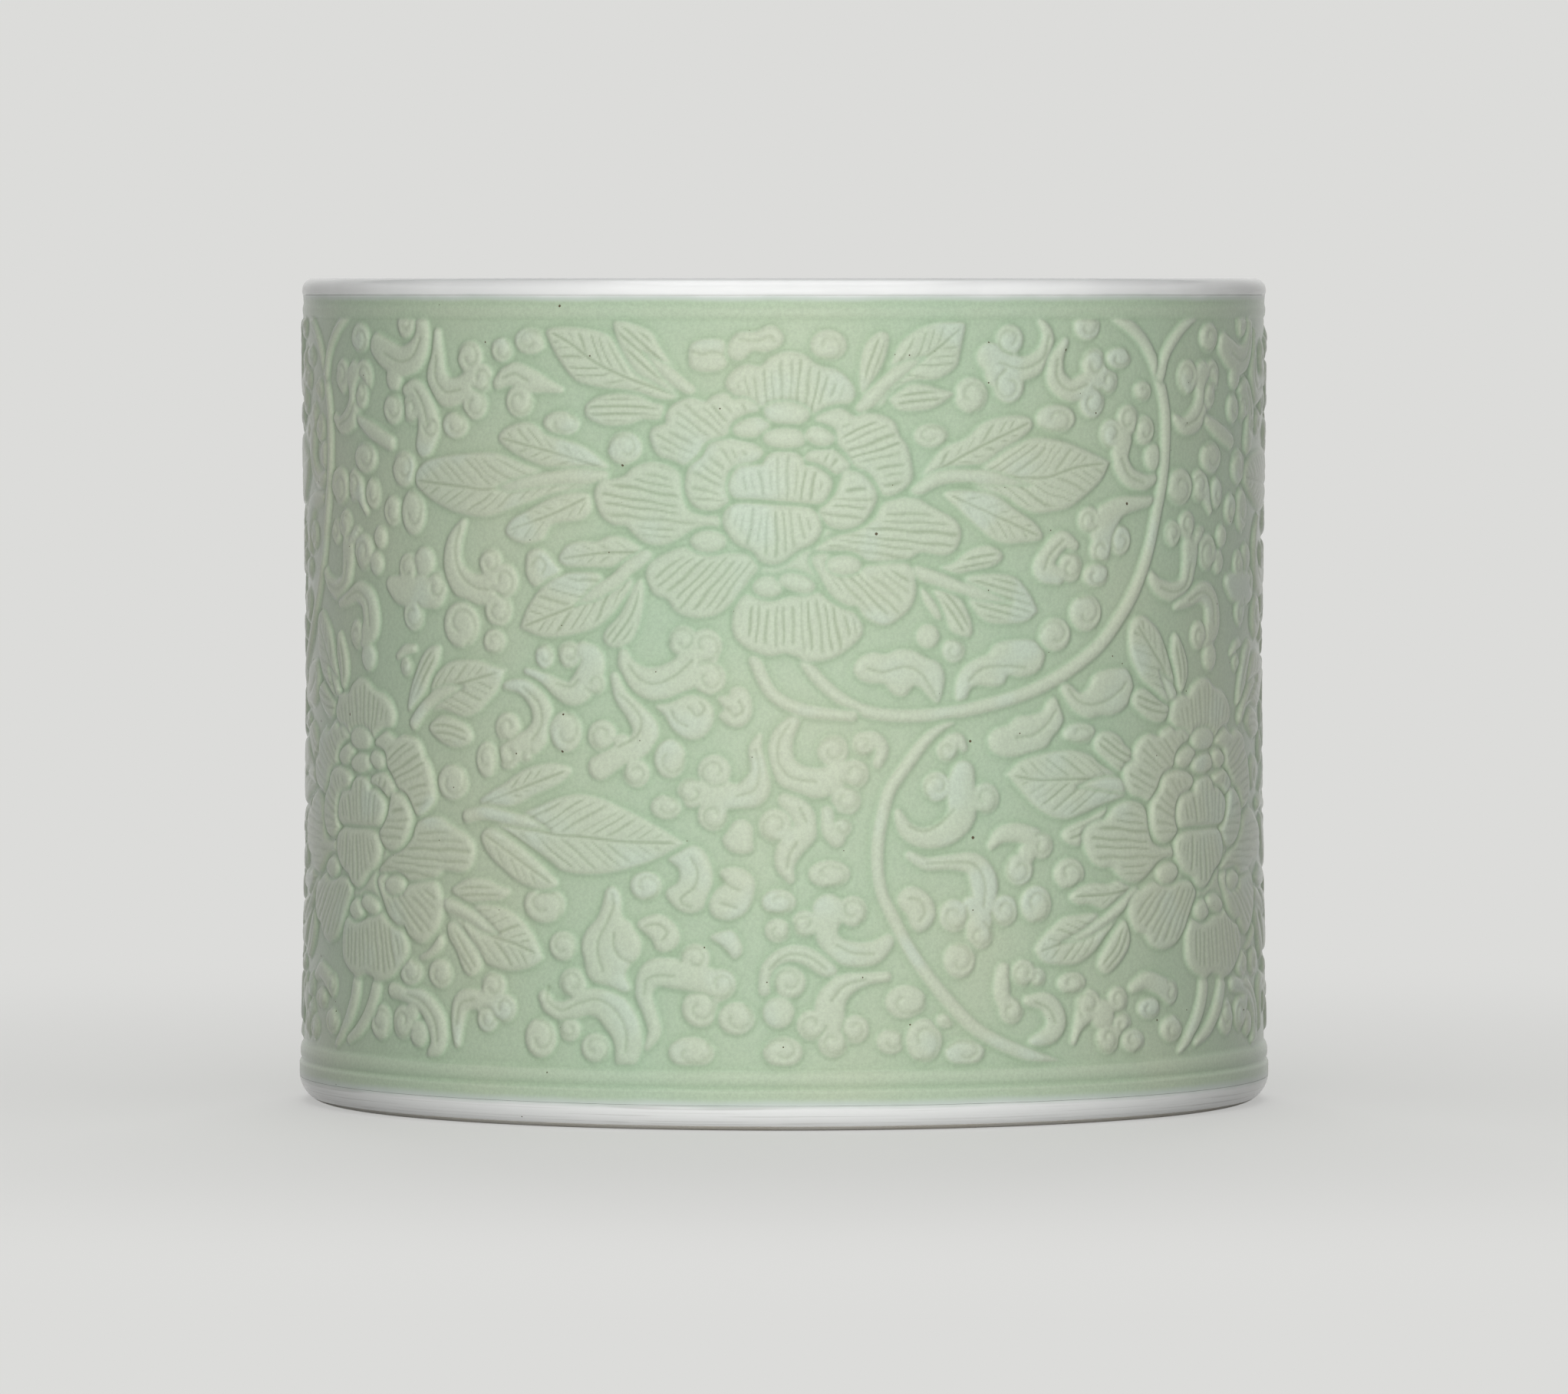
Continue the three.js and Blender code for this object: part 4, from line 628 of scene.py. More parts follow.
class Relief:
    """The carver's work over one repeat of the pattern. height is above the ground, in mm, and cut
    is 1 in an engraved line."""

    def __init__(self):
        self.u = (np.arange(COLUMNS) / COLUMNS - 0.5) * REPEAT
        self.z = np.linspace(GREEN_BOTTOM, GREEN_TOP, ROWS)
        self.height = np.zeros((ROWS, COLUMNS))
        self.cut = np.zeros((ROWS, COLUMNS))

    def window(self, points, reach):
        """The part of the grid within reach of some points, as indices, and each sample's place."""
        p = np.array(points, float)[:, :2]
        low, high = p.min(0) - reach, p.max(0) + reach
        step = REPEAT / COLUMNS
        i = np.arange(math.floor((low[0] + REPEAT / 2) / step), math.ceil((high[0] + REPEAT / 2) / step))
        (j,) = np.nonzero((self.z > low[1]) & (self.z < high[1]))
        place = np.meshgrid(i * step - REPEAT / 2, self.z[j])
        return np.ix_(j, i % COLUMNS), np.stack(place, -1)

    def raise_motif(self, where, depth, lift=0.0):
        """Sets a motif on what is there, with an outline cut round it."""
        behind = self.height[where]
        outline = np.minimum(behind + GROUND_CUT, OUTLINE_CUT)
        base = behind - smoothstep(-OUTLINE_WIDTH, 0, depth) * outline
        shoulder = np.clip(depth / MOTIF_SHOULDER, 0, 1)
        crown = np.clip(depth / CROWN_REACH, 0, 1)
        top = lift + MOTIF_HEIGHT + MOTIF_CROWN * crown * (2 - crown)
        self.height[where] = base + (top - base) * shoulder * (2 - shoulder)
        self.cut[where] *= smoothstep(0, -LINES_WIPED, depth)

    def engrave(self, where, amount, depth, sharp=1.0):
        self.height[where] -= depth * amount
        self.cut[where] = np.maximum(self.cut[where], sharp * amount)

    def pad(self, outline, spread=MOTIF_SPREAD, lift=0.0):
        """A closed outline raised as a smooth pad."""
        rim = flowing(outline, True)
        where, place = self.window(rim, PAD_REACH)
        depth = outline_depth(place, rim) + spread
        self.raise_motif(where, depth, lift)
        return where, place, depth, rim

    def cut_line(self, points, half_width=0.56, depth=LINE_CUT, sharp=0.6):
        line = flowing(points)
        where, place = self.window(line, LINE_REACH)
        self.engrave(where, engraved(to_line(place, line)[0].min(-1), half_width), depth, sharp)

    def curl(self, u, z, half_u, half_z, start, turns):
        """A line that winds from a knob's edge to its middle."""
        t = np.linspace(0, 1, CURL_POINTS)
        angle = start + t * turns * 2 * math.pi
        out = CURL_START - CURL_INWARDS * t
        across, up = half_u * out * np.cos(angle), half_z * out * np.sin(angle)
        self.cut_line(np.stack([u + across, z + up], -1), half_width=0.62, depth=CURL_CUT, sharp=0.3)

    def stem(self, points, lift=0.0):
        line = flowing(points)
        where, place = self.window(line, STEM_REACH)
        self.raise_motif(where, stroke_depth(place, line) + MOTIF_SPREAD, lift)

    def petal(self, outline, focus, lift):
        """A petal whose combed lines fan out from a focus and end short of its rim."""
        where, place, depth, rim = self.pad(outline, PETAL_SPREAD, lift)
        middle = rim.mean(0) - focus
        reach = math.hypot(*middle)
        aim = math.atan2(middle[1], middle[0])
        u, z = place[..., 0] - focus[0], place[..., 1] - focus[1]
        angle = np.mod(np.arctan2(z, u) - aim + math.pi, 2 * math.pi) - math.pi
        across = angle * reach / COMB_SPACING + 0.5
        across += stray(across, 0.1, 2.3, reach) + stray(across, 0.06, 1.7, 0.8 * np.hypot(u, z))
        line, comb = ruled(across, COMB_SPACING)
        end = COMB_END + COMB_RAGGED * uneven(line, reach)
        comb = comb * smoothstep(end, end + COMB_FADE, depth)
        self.engrave(where, comb * pressed(line, reach + 3, 0.6), COMB_CUT)

    def bud(self, u, z, half_u, half_z, tilt=0.0, lift=0.0, curled=True):
        """A small domed bud."""
        t = np.linspace(0, 2 * math.pi, BUD_POINTS, endpoint=False)
        c, s = math.cos(math.radians(tilt)), math.sin(math.radians(tilt))
        across, up = half_u * np.cos(t), half_z * np.sin(t)
        self.pad(np.stack([u + across * c - up * s, z + across * s + up * c], -1), lift=lift)
        if curled:
            chance = uneven(u + z)
            way = 1 if chance > 0.5 else -1
            turns = way * (0.65 + 0.3 * chance)
            self.curl(u, z, half_u, half_z, chance * 2 * math.pi, turns)

    def leaf(self, outline, rib, veins):
        """A leaf with veins that leave its rib at a slant, or run beside it where they have none."""
        slant, spacing = veins
        where, place, depth, rim = self.pad(outline)
        middle = flowing(rib)
        distance, share = to_line(place, middle)
        nearest = distance.argmin(-1)[..., None]
        away = np.take_along_axis(distance, nearest, -1)[..., 0]
        inside = smoothstep(*VEIN_END, depth)
        if slant is None:
            beside = np.abs(np.mod(away / spacing, 1) - 0.5) * spacing
            self.engrave(where, engraved(beside) * inside, VEIN_CUT)
            return
        run = np.hypot(*np.diff(middle[:, :2], axis=0).T)
        start = np.concatenate([[0], np.cumsum(run)])
        along = start[nearest] + np.take_along_axis(share, nearest, -1) * run[nearest]
        across = (along[..., 0] - away * slant) / math.hypot(1, slant) / spacing
        across += stray(across, 0.16, 2.1, rim[0, 0])
        line, vein = ruled(across, spacing, half_width=0.4)
        vein = vein * pressed(line, rim[0, 1], 0.5)
        vein *= smoothstep(*VEIN_START, away)
        self.engrave(where, np.maximum(vein, engraved(away)) * inside, VEIN_CUT)

    def scroll(self, tail, knobs=(), lobes=(), lines=()):
        """A cloud scroll: a tapering tail with knobs, each with its curl, and plain lobes."""
        body = flowing(tail) if tail else np.empty((0, 3))
        discs = [*knobs, *lobes]
        parts = np.concatenate([body, np.array(discs, float).reshape(-1, 3)])
        where, place = self.window(parts, SCROLL_REACH)
        depth = [r - np.hypot(place[..., 0] - u, place[..., 1] - z) for u, z, r in discs]
        if tail:
            depth.append(stroke_depth(place, body))
        self.raise_motif(where, np.max(depth, 0) + MOTIF_SPREAD)
        middle = parts.mean(0)
        for n, (u, z, r) in enumerate(knobs):
            out = math.atan2(z - middle[1], u - middle[0])
            way = 1 if n % 2 else -1
            self.curl(u, z, r, r, start=out - way * 2.4, turns=way * 0.95)
        if len(tail) > 4 and not lines:
            lines = [[p[:2] for p in tail[1:-1]]]
        for points in lines:
            self.cut_line(points)

    def cloud(self, outline, lines=()):
        """A plain pad with a few cut lines."""
        self.pad(outline)
        for points in lines:
            self.cut_line(points)

    def keep_within_borders(self):
        """Fades the carving out under the turned bands above and below it."""
        low, high = CARVED
        inside = smoothstep(low - CARVED_EDGE, low + CARVED_EDGE, self.z)
        inside *= smoothstep(high + CARVED_EDGE, high - CARVED_EDGE, self.z)
        self.height *= inside[:, None]
        self.cut *= inside[:, None]


def placed(points, move, turn):
    """Points of the first bloom, turned about its middle and moved."""
    c, s = math.cos(math.radians(turn)), math.sin(math.radians(turn))
    off = np.array(points, float) - BLOOM_AT
    turned_off = off @ np.array([[c, s], [-s, c]])
    return turned_off + BLOOM_AT + move


def carve_bloom(relief, move=(0, 0), turn=0):
    relief.pad(placed(BLOOM_CORE, move, turn), lift=CORE_LIFT)
    for lift, petals in zip(PETAL_LIFTS, (OUTER_PETALS, MIDDLE_PETALS, INNER_PETALS)):
        for outline, focus in petals:
            relief.petal(placed(outline, move, turn), placed([focus], move, turn)[0], lift)
    for u, z, half_u, half_z, tilt in BLOOM_OVALS:
        ((u, z),) = placed([(u, z)], move, turn)
        relief.bud(u, z, half_u, half_z, tilt + turn, OVAL_LIFT, curled=False)


def carve():
    """The whole pattern, from the scrolls at the back to the blooms in front."""
    relief = Relief()
    for scroll in SCROLLS:
        relief.scroll(*scroll)
    for cloud in CLOUDS:
        relief.cloud(*cloud)
    for bud in BUDS:
        relief.bud(*bud)
    for vine in VINES:
        relief.stem(vine)
    for leaf in LEAVES:
        relief.leaf(*leaf)
    for leaf_stem in LEAF_STEMS:
        relief.stem(leaf_stem, LEAF_STEM_LIFT)
    carve_bloom(relief)
    carve_bloom(relief, SECOND_BLOOM, SECOND_TURN)
    relief.keep_within_borders()
    return relief


# Finishes


def srgb(red, green, blue):
    """A colour as it looks on a screen, 0 to 255, as the shader's own numbers."""
    scaled = [c / 255 for c in (red, green, blue)]
    return [*(((c + 0.055) / 1.055) ** 2.4 if c > 0.04 else c / 12.92 for c in scaled), 1]


WHITE = srgb(248, 249, 248)
DULLER_WHITE = srgb(241, 242, 241)
TURNED_LINES = srgb(224, 224, 222)
MINT = srgb(204, 215, 206)
GREEN = srgb(186, 201, 176)
# From where the green glaze lies thinnest to where it pools
POOLING = (
    (0, srgb(202, 213, 191)),
    (0.3, srgb(197, 209, 186)),
    (0.55, srgb(184, 203, 176)),
    (0.8, srgb(171, 193, 163)),
    (1, srgb(160, 184, 153)),
)
CUT_GREEN = srgb(163, 178, 149)
CREAM = srgb(206, 206, 182)
COOL_GREEN = srgb(172, 204, 180)
MILKY = srgb(203, 220, 208)
IRON = srgb(92, 82, 62)
CLAY = srgb(226, 223, 215)
BLUSH = srgb(214, 206, 190)
CLAY_GRAIN = srgb(182, 172, 152)


class Finish:
    """A material, its shader, and the nodes that feed it."""

    def __init__(self, name, **settings):
        self.material = bpy.data.materials.new(name)
        self.material.use_nodes = True
        self.nodes = self.material.node_tree.nodes
        self.links = self.material.node_tree.links
        self.shader = self.nodes["Principled BSDF"]
        self.set(self.shader, settings)
        self.place = self.add("ShaderNodeTexCoord", out="Object")

    def set(self, node, inputs):
        for name, value in inputs.items():
            if isinstance(value, bpy.types.NodeSocket):
                self.links.new(value, node.inputs[name])
            else:
                node.inputs[name].default_value = value

    def add(self, kind, inputs=None, out=0, **settings):
        """A node with its settings, and numbers or other nodes' outputs on its inputs."""
        node = self.nodes.new(kind)
        for name, value in settings.items():
            setattr(node, name, value)
        self.set(node, inputs or {})
        return node.outputs[out]

    def mix(self, share, a, b, blend="MIX"):
        return self.add("ShaderNodeMix", {0: share, 6: a, 7: b}, 2, data_type="RGBA", blend_type=blend)

    def sum(self, operation, a, b=0.0, c=0.0):
        return self.add("ShaderNodeMath", {0: a, 1: b, 2: c}, operation=operation)

    def between(self, value, low, high, least=0.0, most=1.0, step="SMOOTHSTEP"):
        """From least to most as a value goes from low to high."""
        inputs = {"Value": value, "From Min": low, "From Max": high, "To Min": least, "To Max": most}
        return self.add("ShaderNodeMapRange", inputs, interpolation_type=step)

    def ramp(self, value, stops):
        """Colours along a value from 0 to 1."""
        ramp = self.add("ShaderNodeValToRGB", {"Fac": value})
        elements = ramp.node.color_ramp.elements
        for n, (at, color) in enumerate(stops):
            stop = elements[n] if n < 2 else elements.new(at)
            stop.position, stop.color = at, color
        return ramp

    def noise(self, scale, detail=2.0, roughness=0.5, place=None):
        inputs = {"Vector": place or self.place, "Scale": scale, "Detail": detail, "Roughness": roughness}
        return self.add("ShaderNodeTexNoise", inputs)

    def length(self, vector):
        return self.add("ShaderNodeVectorMath", {0: vector}, "Value", operation="LENGTH")

    def radius_and_height(self):
        x, y, z = self.add("ShaderNodeSeparateXYZ", {0: self.place}).node.outputs
        return self.length(self.add("ShaderNodeCombineXYZ", {"X": x, "Y": y})), z

    def speckled(self, color, spacing, size, share):
        """A colour with small round iron specks, in a share of the places that they could have."""
        inputs = {"Vector": self.place, "Scale": 1 / (spacing * MM)}
        voronoi = self.add("ShaderNodeTexVoronoi", inputs).node
        chance = self.add("ShaderNodeSeparateColor", {0: voronoi.outputs["Color"]})
        radius = self.sum("MULTIPLY", self.between(chance, 1 - share, 1), size / spacing)
        return self.mix(self.sum("LESS_THAN", voronoi.outputs["Distance"], radius), color, IRON)

    def fade_to(self, white, color):
        """The green thins through mint to white over the lip and the foot, and stays outside."""
        radius, height = self.radius_and_height()
        waver = self.sum("MULTIPLY_ADD", self.noise(90, 2), FADE_WAVER * MM, -FADE_WAVER / 2 * MM)
        height = self.sum("ADD", height, waver)
        thin = self.sum("LESS_THAN", radius, MOUTH_WHITE * MM)
        for low, high in (LIP_FADE, FOOT_FADE):
            thin = self.sum("MAXIMUM", thin, self.between(height, low * MM, high * MM, step="LINEAR"))
        color = self.mix(self.between(thin, 0, 0.6), color, MINT)
        return self.mix(self.between(thin, 0.45, 1), color, white)

    def surfaced(self, color, bump, depth):
        """The material, once its shader has its colour and a bump that is so many mm deep."""
        normal = self.add("ShaderNodeBump", {"Height": bump, "Distance": depth * MM})
        self.set(self.shader, {"Base Color": color, "Normal": normal})
        return self.material


def green_glaze():
    """Pale green glaze: cream over the carving, greener where it pools, and white at both ends."""
    finish = Finish("pale_green_glaze", Roughness=0.2, **{"Specular IOR Level": 0.4})
    pool = finish.add("ShaderNodeAttribute", out="Fac", attribute_name="pool")
    cut = finish.add("ShaderNodeAttribute", out="Fac", attribute_name="cut")
    color = finish.ramp(pool, POOLING)
    color = finish.mix(finish.sum("MULTIPLY", cut, 0.85), color, CUT_GREEN)
    drift = finish.noise(22, 2)
    color = finish.mix(finish.between(drift, 0.45, 0.75, 0, 0.3), color, CREAM)
    color = finish.mix(finish.between(drift, 0.5, 0.25, 0, 0.2), color, COOL_GREEN)
    milky = finish.between(finish.noise(75, 1), 0.52, 0.7, 0, 0.35)
    milky = finish.sum("MULTIPLY", milky, finish.between(pool, 0.5, 0.1))
    color = finish.mix(milky, color, MILKY)
    mottle = finish.between(finish.noise(1400, 4, 0.8), 0.3, 0.7, 0.92, 1.06)
    grey = finish.add("ShaderNodeCombineColor", {0: mottle, 1: mottle, 2: mottle})
    color = finish.mix(1, color, grey, "MULTIPLY")
    color = finish.fade_to(WHITE, color)
    for specks in GREEN_SPECKS:
        color = finish.speckled(color, *specks)
    return finish.surfaced(color, finish.noise(380, 2), 0.03)


def white_glaze(name, meets_green):
    """Clear white glaze with a few iron specks, and green in it where the wall's glaze begins."""
    finish = Finish(name, Roughness=0.16)
    color = finish.mix(finish.between(finish.noise(40, 3), 0.35, 0.65), DULLER_WHITE, WHITE)
    if meets_green:
        color = finish.fade_to(color, GREEN)
    return finish.surfaced(finish.speckled(color, *WHITE_SPECKS), finish.noise(300, 2), 0.02)


def foot_glaze():
    """White glaze over the fine lines that turning left on the foot, green where the wall begins."""
    finish = Finish("turned_foot_glaze", Roughness=0.16)
    radius, height = finish.radius_and_height()
    wander = finish.sum("MULTIPLY", finish.noise(14, 1), 2 * MM)
    turning = finish.add("ShaderNodeCombineXYZ", {0: radius, 1: height, 2: wander})
    lines = finish.noise(2000, 2, 0.6, turning)
    color = finish.mix(finish.between(lines, 0.32, 0.46), TURNED_LINES, WHITE)
    color = finish.fade_to(color, GREEN)
    return finish.surfaced(finish.speckled(color, *WHITE_SPECKS), lines, 0.04)


def bare_porcelain():
    """Fired clay without glaze, matt, with a warm blush."""
    finish = Finish("bare_porcelain", Roughness=0.72)
    color = finish.mix(finish.between(finish.noise(60, 3), 0.4, 0.7, 0, 0.5), CLAY, BLUSH)
    grain = finish.noise(1500, 3, 0.7)
    color = finish.mix(finish.between(grain, 0.35, 0.65, 0, 0.12), color, CLAY_GRAIN)
    return finish.surfaced(color, grain, 0.05)


GREEN_GLAZE = green_glaze()
WHITE_GLAZE = white_glaze("clear_white_glaze", meets_green=False)
LIP_WHITE = white_glaze("lip_glaze", meets_green=True)
FOOT_GLAZE = foot_glaze()
BARE_PORCELAIN = bare_porcelain()

# The pot's profile


def arc(centre, across, up, start, end, steps):
    """Points on a round about a centre, from one angle to another in degrees."""
    angle = np.radians(np.linspace(start, end, steps + 1))
    return [(centre[0] + across * math.cos(a), centre[1] + up * math.sin(a)) for a in angle]


def foot_angle(height):
    return -math.degrees(math.asin(1 - height / FOOT_ROUND_UP))


def foot_round(depth, low, high, steps=10):
    centre = (FOOT_RADIUS - FOOT_ROUND_IN, FOOT_ROUND_UP)
    across, up = FOOT_ROUND_IN - depth, FOOT_ROUND_UP - depth
    return arc(centre, across, up, foot_angle(low), foot_angle(high), steps)


def wall(depth):
    """The waisted wall, from above the lower band to below the upper one."""
    return [(radius - depth, height) for radius, height in flowing((WALL_BOTTOM, WAIST, WALL_TOP))]


def lip(depth):
    """Over the lip, from the top of the green glaze to the top of the lining."""
    mouth = LIP_RADIUS - LIP_WIDTH
    round_ = LIP_ROUND - depth
    level = HEIGHT - LIP_ROUND
    return [
        (SEAM_RADIUS - depth, GREEN_TOP + BOND),
        *arc((LIP_RADIUS - LIP_ROUND, level), round_, round_, start=-18, end=90, steps=14),
        *arc((mouth + LIP_ROUND, level), round_, round_, start=90, end=180, steps=10),
        (mouth + depth, HEIGHT - LIP_GLAZE_INSIDE),
    ]


def lining(depth):
    """Down the inside and over the floor to its middle."""
    mouth = LIP_RADIUS - LIP_WIDTH
    floor = RECESS_DEPTH + FLOOR_THICKNESS
    centre = (mouth - INNER_TAPER - FLOOR_FILLET, floor + FLOOR_FILLET)
    fillet = FLOOR_FILLET + depth
    return [
        (mouth + depth, HEIGHT - LIP_GLAZE_INSIDE - BOND),
        *arc(centre, fillet, fillet, start=0, end=-90, steps=14),
        (0, floor - depth),
    ]


def spun(profile, steps, closed=False):
    """A profile of radii and heights, in metres, turned round the pot's axis."""
    bm = bmesh.new()
    verts = [bm.verts.new((radius, 0, height)) for radius, height in profile]
    edges = [bm.edges.new(pair) for pair in zip(verts, verts[1:])]
    if closed:
        edges.append(bm.edges.new((verts[-1], verts[0])))
    bmesh.ops.spin(
        bm, geom=verts + edges, cent=(0, 0, 0), axis=(0, 0, 1), angle=2 * math.pi,
        steps=steps, use_merge=True,
    )
    bmesh.ops.remove_doubles(bm, verts=bm.verts, dist=1e-6)
    return bm


def smooth_mesh(name, bm):
    mesh = bpy.data.meshes.new(name)
    bm.to_mesh(mesh)
    bm.free()
    mesh.shade_smooth()
    return mesh


def in_scene(name, data):
    thing = bpy.data.objects.new(name, data)
    bpy.context.collection.objects.link(thing)
    return thing


def finished(name, mesh, material, node):
    mesh.materials.append(material)
    piece = in_scene(name, mesh)
    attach(piece, "root")
    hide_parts(node)


def turned(name, profile, material, node):
    """A piece turned from a profile in millimetres, which replaces a CAD node."""
    closed = profile[0][0] > 0
    bm = spun([(radius * MM, height * MM) for radius, height in profile], TURNED_STEPS, closed)
    bmesh.ops.recalc_face_normals(bm, faces=bm.faces)
    mesh = smooth_mesh(name, bm)
    mesh.set_sharp_from_angle(angle=math.radians(35))
    finished(name, mesh, material, node)


def coat(name, stretch, material, node):
    """A coat of white glaze from its finished surface to its underside."""
    turned(name, [*stretch(0), *reversed(stretch(GLAZE))], material, node)


clay = GLAZE + BOND
ring_outer = FOOT_RADIUS - FOOT_ROUND_IN
ring_inner = ring_outer - FOOT_RING_WIDTH
recess = ring_inner - GLAZE
turned(
    "clay_body",
    [
        (0, RECESS_DEPTH + clay),
        (recess + BOND, RECESS_DEPTH + clay),
        (recess + BOND, RECESS_DEPTH),
        (ring_inner, RECESS_DEPTH),
        (ring_inner, FOOT_CHAMFER),
        (ring_inner + FOOT_CHAMFER, 0),
        *foot_round(0, 0, BARE_FOOT, 5),
        *foot_round(clay, BARE_FOOT, FOOT_ROUND_UP),
        *wall(clay),
        *lip(clay),
        *lining(clay)[1:],
    ],
    BARE_PORCELAIN,
    "porcelain_body",
)
coat("white_lip", lip, LIP_WHITE, "lip_glaze")
coat("white_lining", lining, WHITE_GLAZE, "lining_glaze")
coat(
    "white_foot",
    lambda depth: foot_round(depth, BARE_FOOT + BOND, GREEN_BOTTOM - BOND),
    FOOT_GLAZE,
    "foot_glaze",
)
coat(
    "base_disc",
    lambda depth: [(0, RECESS_DEPTH + depth), (recess, RECESS_DEPTH + depth)],
    WHITE_GLAZE,
    "base_glaze",
)

# The green wall


def ground_radius(z):
    """Radius of the green glaze without its carving, with the turned bands and grooves."""
    points = [
        *foot_round(0, GREEN_BOTTOM, FOOT_ROUND_UP),
        (FOOT_RADIUS, FOOT_TOP),
        *LOWER_LEDGE,
        *wall(0)[1:],
        *UPPER_LEDGE,
        (SEAM_RADIUS, GREEN_TOP),
    ]
    radii, heights = np.array(points).T
    radius = np.interp(z, heights, radii)
    for low, high in (LOWER_BORDER, UPPER_BORDER):
        above_groove = smoothstep(low - BORDER_EDGE, low + BORDER_EDGE, z)
        radius += BORDER_RISE * above_groove * smoothstep(high + BORDER_EDGE, high - BORDER_EDGE, z)
        radius -= GROOVE_DEPTH * smoothstep(GROOVE_REACH, 0, np.abs(z - low + GROOVE_REACH))
    return radius


def levelled(field, reach):
    """A field blurred over a reach in samples, as the glaze levels itself; it wraps round the wall."""
    offsets = np.arange(-3 * reach, 3 * reach + 1)
    weights = np.exp(-0.5 * (offsets / reach) ** 2)
    weights /= weights.sum()
    around = sum(w * np.roll(field, k, axis=1) for k, w in zip(offsets, weights))
    padded = np.pad(around, ((3 * reach, 3 * reach), (0, 0)), mode="edge")
    return sum(w * padded[k : k + len(field)] for k, w in enumerate(weights))


relief = carve()
surface = levelled(relief.height, GLAZE_REACH) + ground_radius(relief.z)[:, None]
hollow = levelled(surface, POOL_REACH) - surface
pool = np.clip(POOL_ON_GROUND - POOL_PER_HEIGHT * relief.height + POOL_PER_HOLLOW * hollow, 0, 1)

angle = relief.u / PATTERN_RADIUS
out = np.stack([np.sin(angle), -np.cos(angle)], -1)
places = np.empty((ROWS, COLUMNS, 3))
places[..., :2] = surface[..., None] * out
places[..., 2] = relief.z[:, None]
places *= MM

# Across a repeat's ends the wall goes on, so slopes there are taken over the join.
slope_u = (np.roll(surface, -1, 1) - np.roll(surface, 1, 1)) / (2 * REPEAT / COLUMNS)
slope_z = np.gradient(surface, relief.z, axis=0)
along = np.stack([np.cos(angle), np.sin(angle)], -1)
normals = np.empty_like(places)
normals[..., :2] = out - slope_u[..., None] * along
normals[..., 2] = -slope_z
normals /= np.linalg.norm(normals, axis=-1, keepdims=True)


def wall_panel(name, first):
    """A twelfth of the green wall: a flat grid bent to its place on the pot."""
    bm = bmesh.new()
    bmesh.ops.create_grid(bm, x_segments=PANEL_COLUMNS, y_segments=ROWS - 1, size=1)
    mesh = smooth_mesh(name, bm)
    flat = np.empty((len(mesh.vertices), 3))
    mesh.vertices.foreach_get("co", flat.ravel())
    across, up = (flat[:, 0] + 1) / 2, (flat[:, 1] + 1) / 2
    column = np.rint(across * PANEL_COLUMNS).astype(int) + first
    row = np.rint(up * (ROWS - 1)).astype(int)
    at = row, column % COLUMNS
    place, normal = places[at], normals[at]
    past = column >= COLUMNS
    turn = 2 * math.pi / REPEATS
    spin = np.array([[math.cos(turn), math.sin(turn)], [-math.sin(turn), math.cos(turn)]])
    place[past, :2] = place[past, :2] @ spin
    normal[past, :2] = normal[past, :2] @ spin
    mesh.vertices.foreach_set("co", place.ravel())
    for attribute, field in (("pool", pool), ("cut", relief.cut)):
        mesh.attributes.new(attribute, "FLOAT", "POINT").data.foreach_set("value", field[at])
    corner = np.empty(len(mesh.loops), int)
    mesh.loops.foreach_get("vertex_index", corner)
    unrolled = mesh.uv_layers.new(name="OFBake")
    unrolled.data.foreach_set("uv", np.stack([across, up], -1)[corner].ravel())
    mesh.normals_split_custom_set_from_vertices(normal.tolist())
    mesh.update()
    return mesh


for number in range(PANELS):
    mesh = wall_panel(f"carved_wall_{number + 1:02}", number * PANEL_COLUMNS)
    for repeat in range(REPEATS):
        name = f"carved_wall_{repeat * PANELS + number + 1:02}"
        bent = mesh.copy()
        bent.name = name
        bent.transform(Matrix.Rotation(repeat * 2 * math.pi / REPEATS, 4, "Z"))
        finished(name, bent, GREEN_GLAZE, "celadon_glaze")
    bpy.data.meshes.remove(mesh)

# Studio


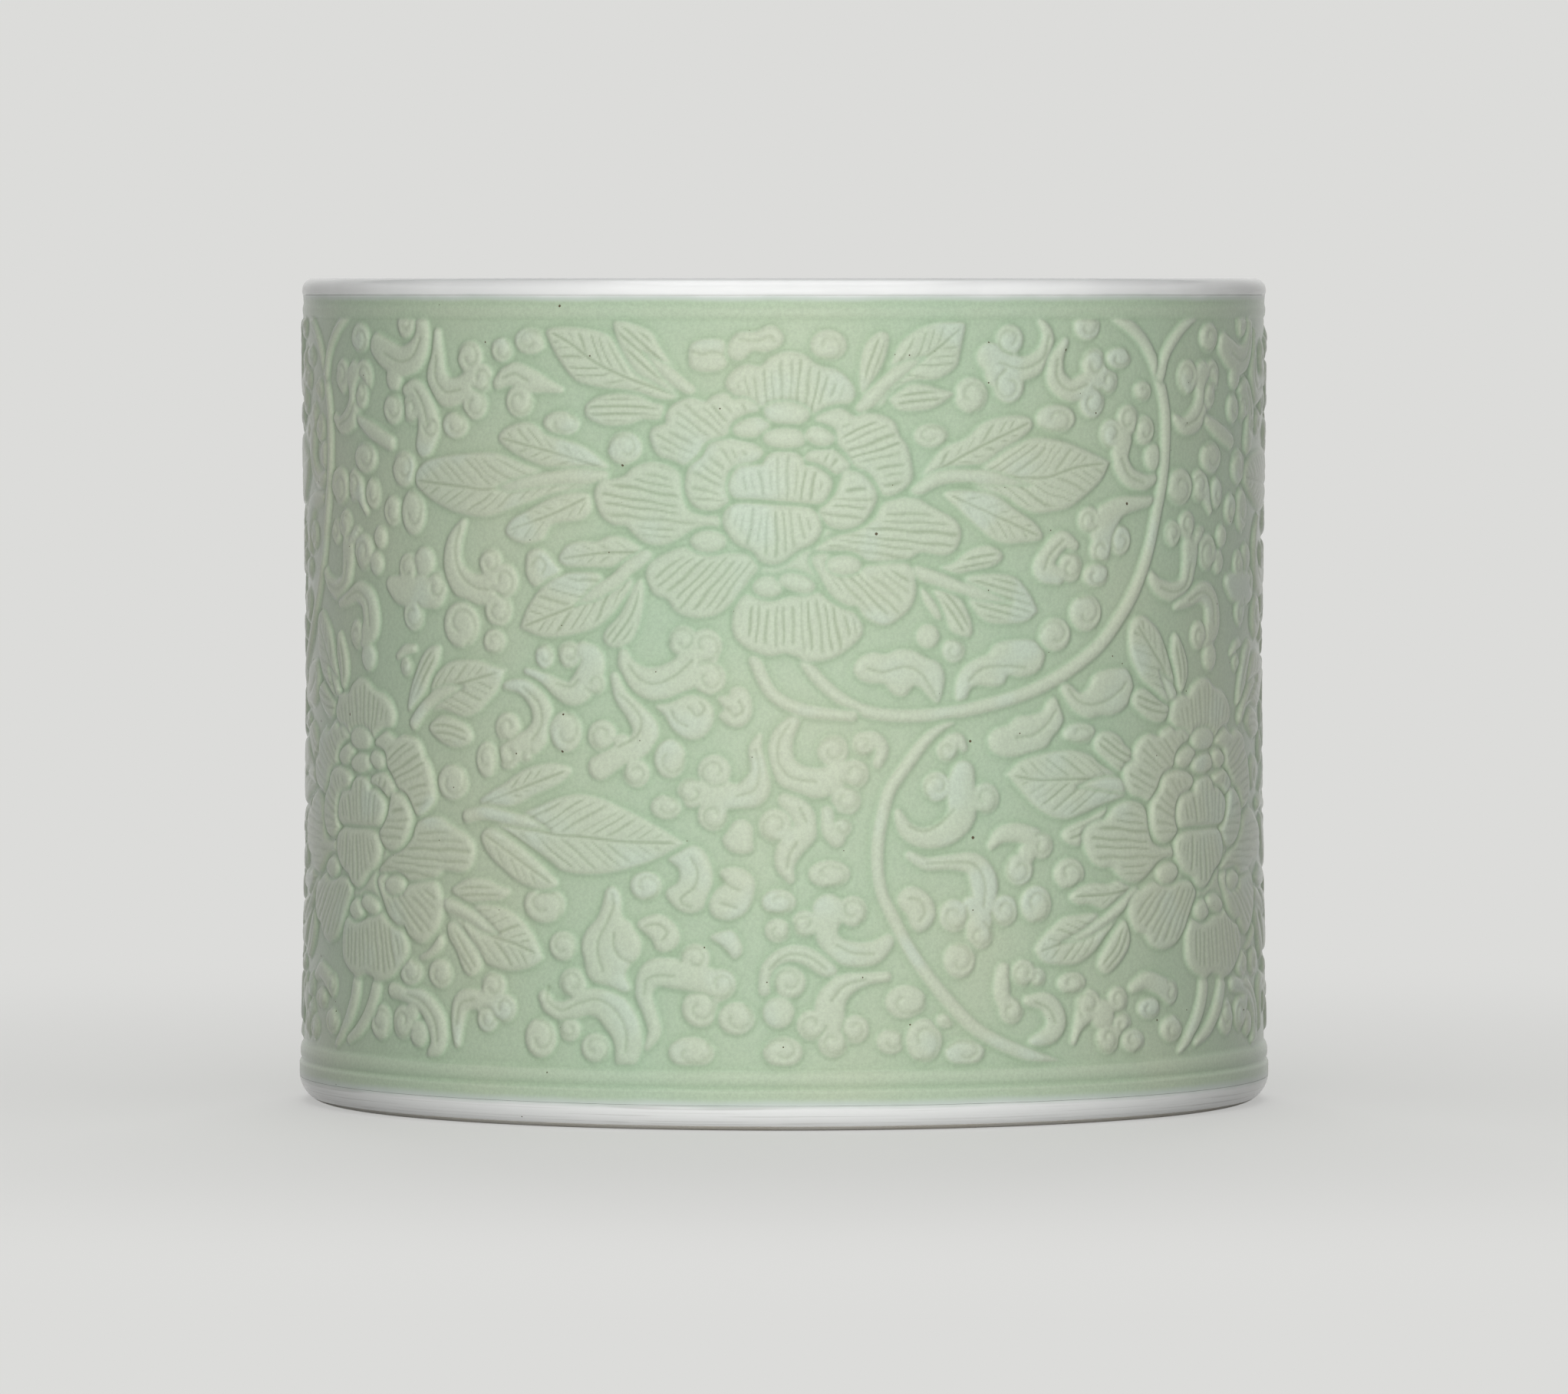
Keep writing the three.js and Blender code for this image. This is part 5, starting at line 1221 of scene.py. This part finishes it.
def studio_paper():
    """Pale paper that glows a little where the camera or a gloss sees it, more so away from the pot."""
    finish = Finish("studio_paper", Roughness=0.8)
    rays = finish.add("ShaderNodeLightPath").node.outputs
    seen = finish.sum("MAXIMUM", rays["Is Camera Ray"], rays["Is Glossy Ray"])
    seen = finish.sum("MAXIMUM", seen, rays["Is Transmission Ray"])
    glow = finish.sum("MULTIPLY", seen, finish.between(finish.length(finish.place), 0.1, 0.5, 0.6, 1))
    paper = finish.mix(seen, srgb(160, 160, 158), srgb(226, 226, 224))
    finish.set(finish.shader, {"Base Color": paper})
    light = finish.add("ShaderNodeEmission", {"Color": srgb(220, 220, 218), "Strength": 1.0})
    both = finish.add("ShaderNodeMixShader", {0: glow, 1: finish.shader.outputs[0], 2: light})
    finish.set(finish.nodes["Material Output"], {"Surface": both})
    return finish.material


def studio_floor():
    """A pale floor that sweeps up all round."""
    sweep = arc((FLOOR_REACH, FLOOR_SWEEP), FLOOR_SWEEP, FLOOR_SWEEP, start=-90, end=0, steps=16)
    profile = [(0, 0), *sweep, (FLOOR_REACH + FLOOR_SWEEP, BACKDROP_TOP)]
    mesh = smooth_mesh("studio_floor", spun(profile, FLOOR_STEPS))
    mesh.materials.append(studio_paper())
    in_scene("studio_floor", mesh)


def soft_box(name, place, size, power, glare=True):
    light = bpy.data.lights.new(name, "AREA")
    light.shape = "RECTANGLE"
    light.size, light.size_y = size
    light.energy = power
    lamp = in_scene(name, light)
    lamp.location = place
    lamp.rotation_euler = (Vector(LAMPS_AIM) - Vector(place)).to_track_quat("-Z", "Y").to_euler()
    lamp.visible_camera = False
    lamp.visible_glossy = glare


def camera():
    data = bpy.data.cameras.new("camera")
    data.sensor_width = 36
    data.lens = CAMERA_LENS
    view = in_scene("camera", data)
    view.location = (0, -CAMERA_DISTANCE * MM, CAMERA_HEIGHT * MM)
    view.rotation_euler = (math.radians(90 - CAMERA_DOWN), 0, 0)
    bpy.context.scene.camera = view


studio_floor()
soft_box("front_light", place=(0, -0.8, 0.14), size=(0.4, 0.22), power=3.9, glare=False)
soft_box("top_light", place=(0, -0.4, 2), size=(1.6, 1.6), power=15)
soft_box("back_light", place=(0, 2.4, 1.4), size=(1.4, 1), power=45, glare=False)
camera()

world = bpy.data.worlds.new("studio")
world.use_nodes = True
room = world.node_tree.nodes["Background"].inputs
room["Color"].default_value = srgb(225, 225, 225)
room["Strength"].default_value = ROOM_LIGHT
bpy.context.scene.world = world
bpy.context.scene.view_settings.view_transform = "Standard"

bpy.context.view_layer.update()
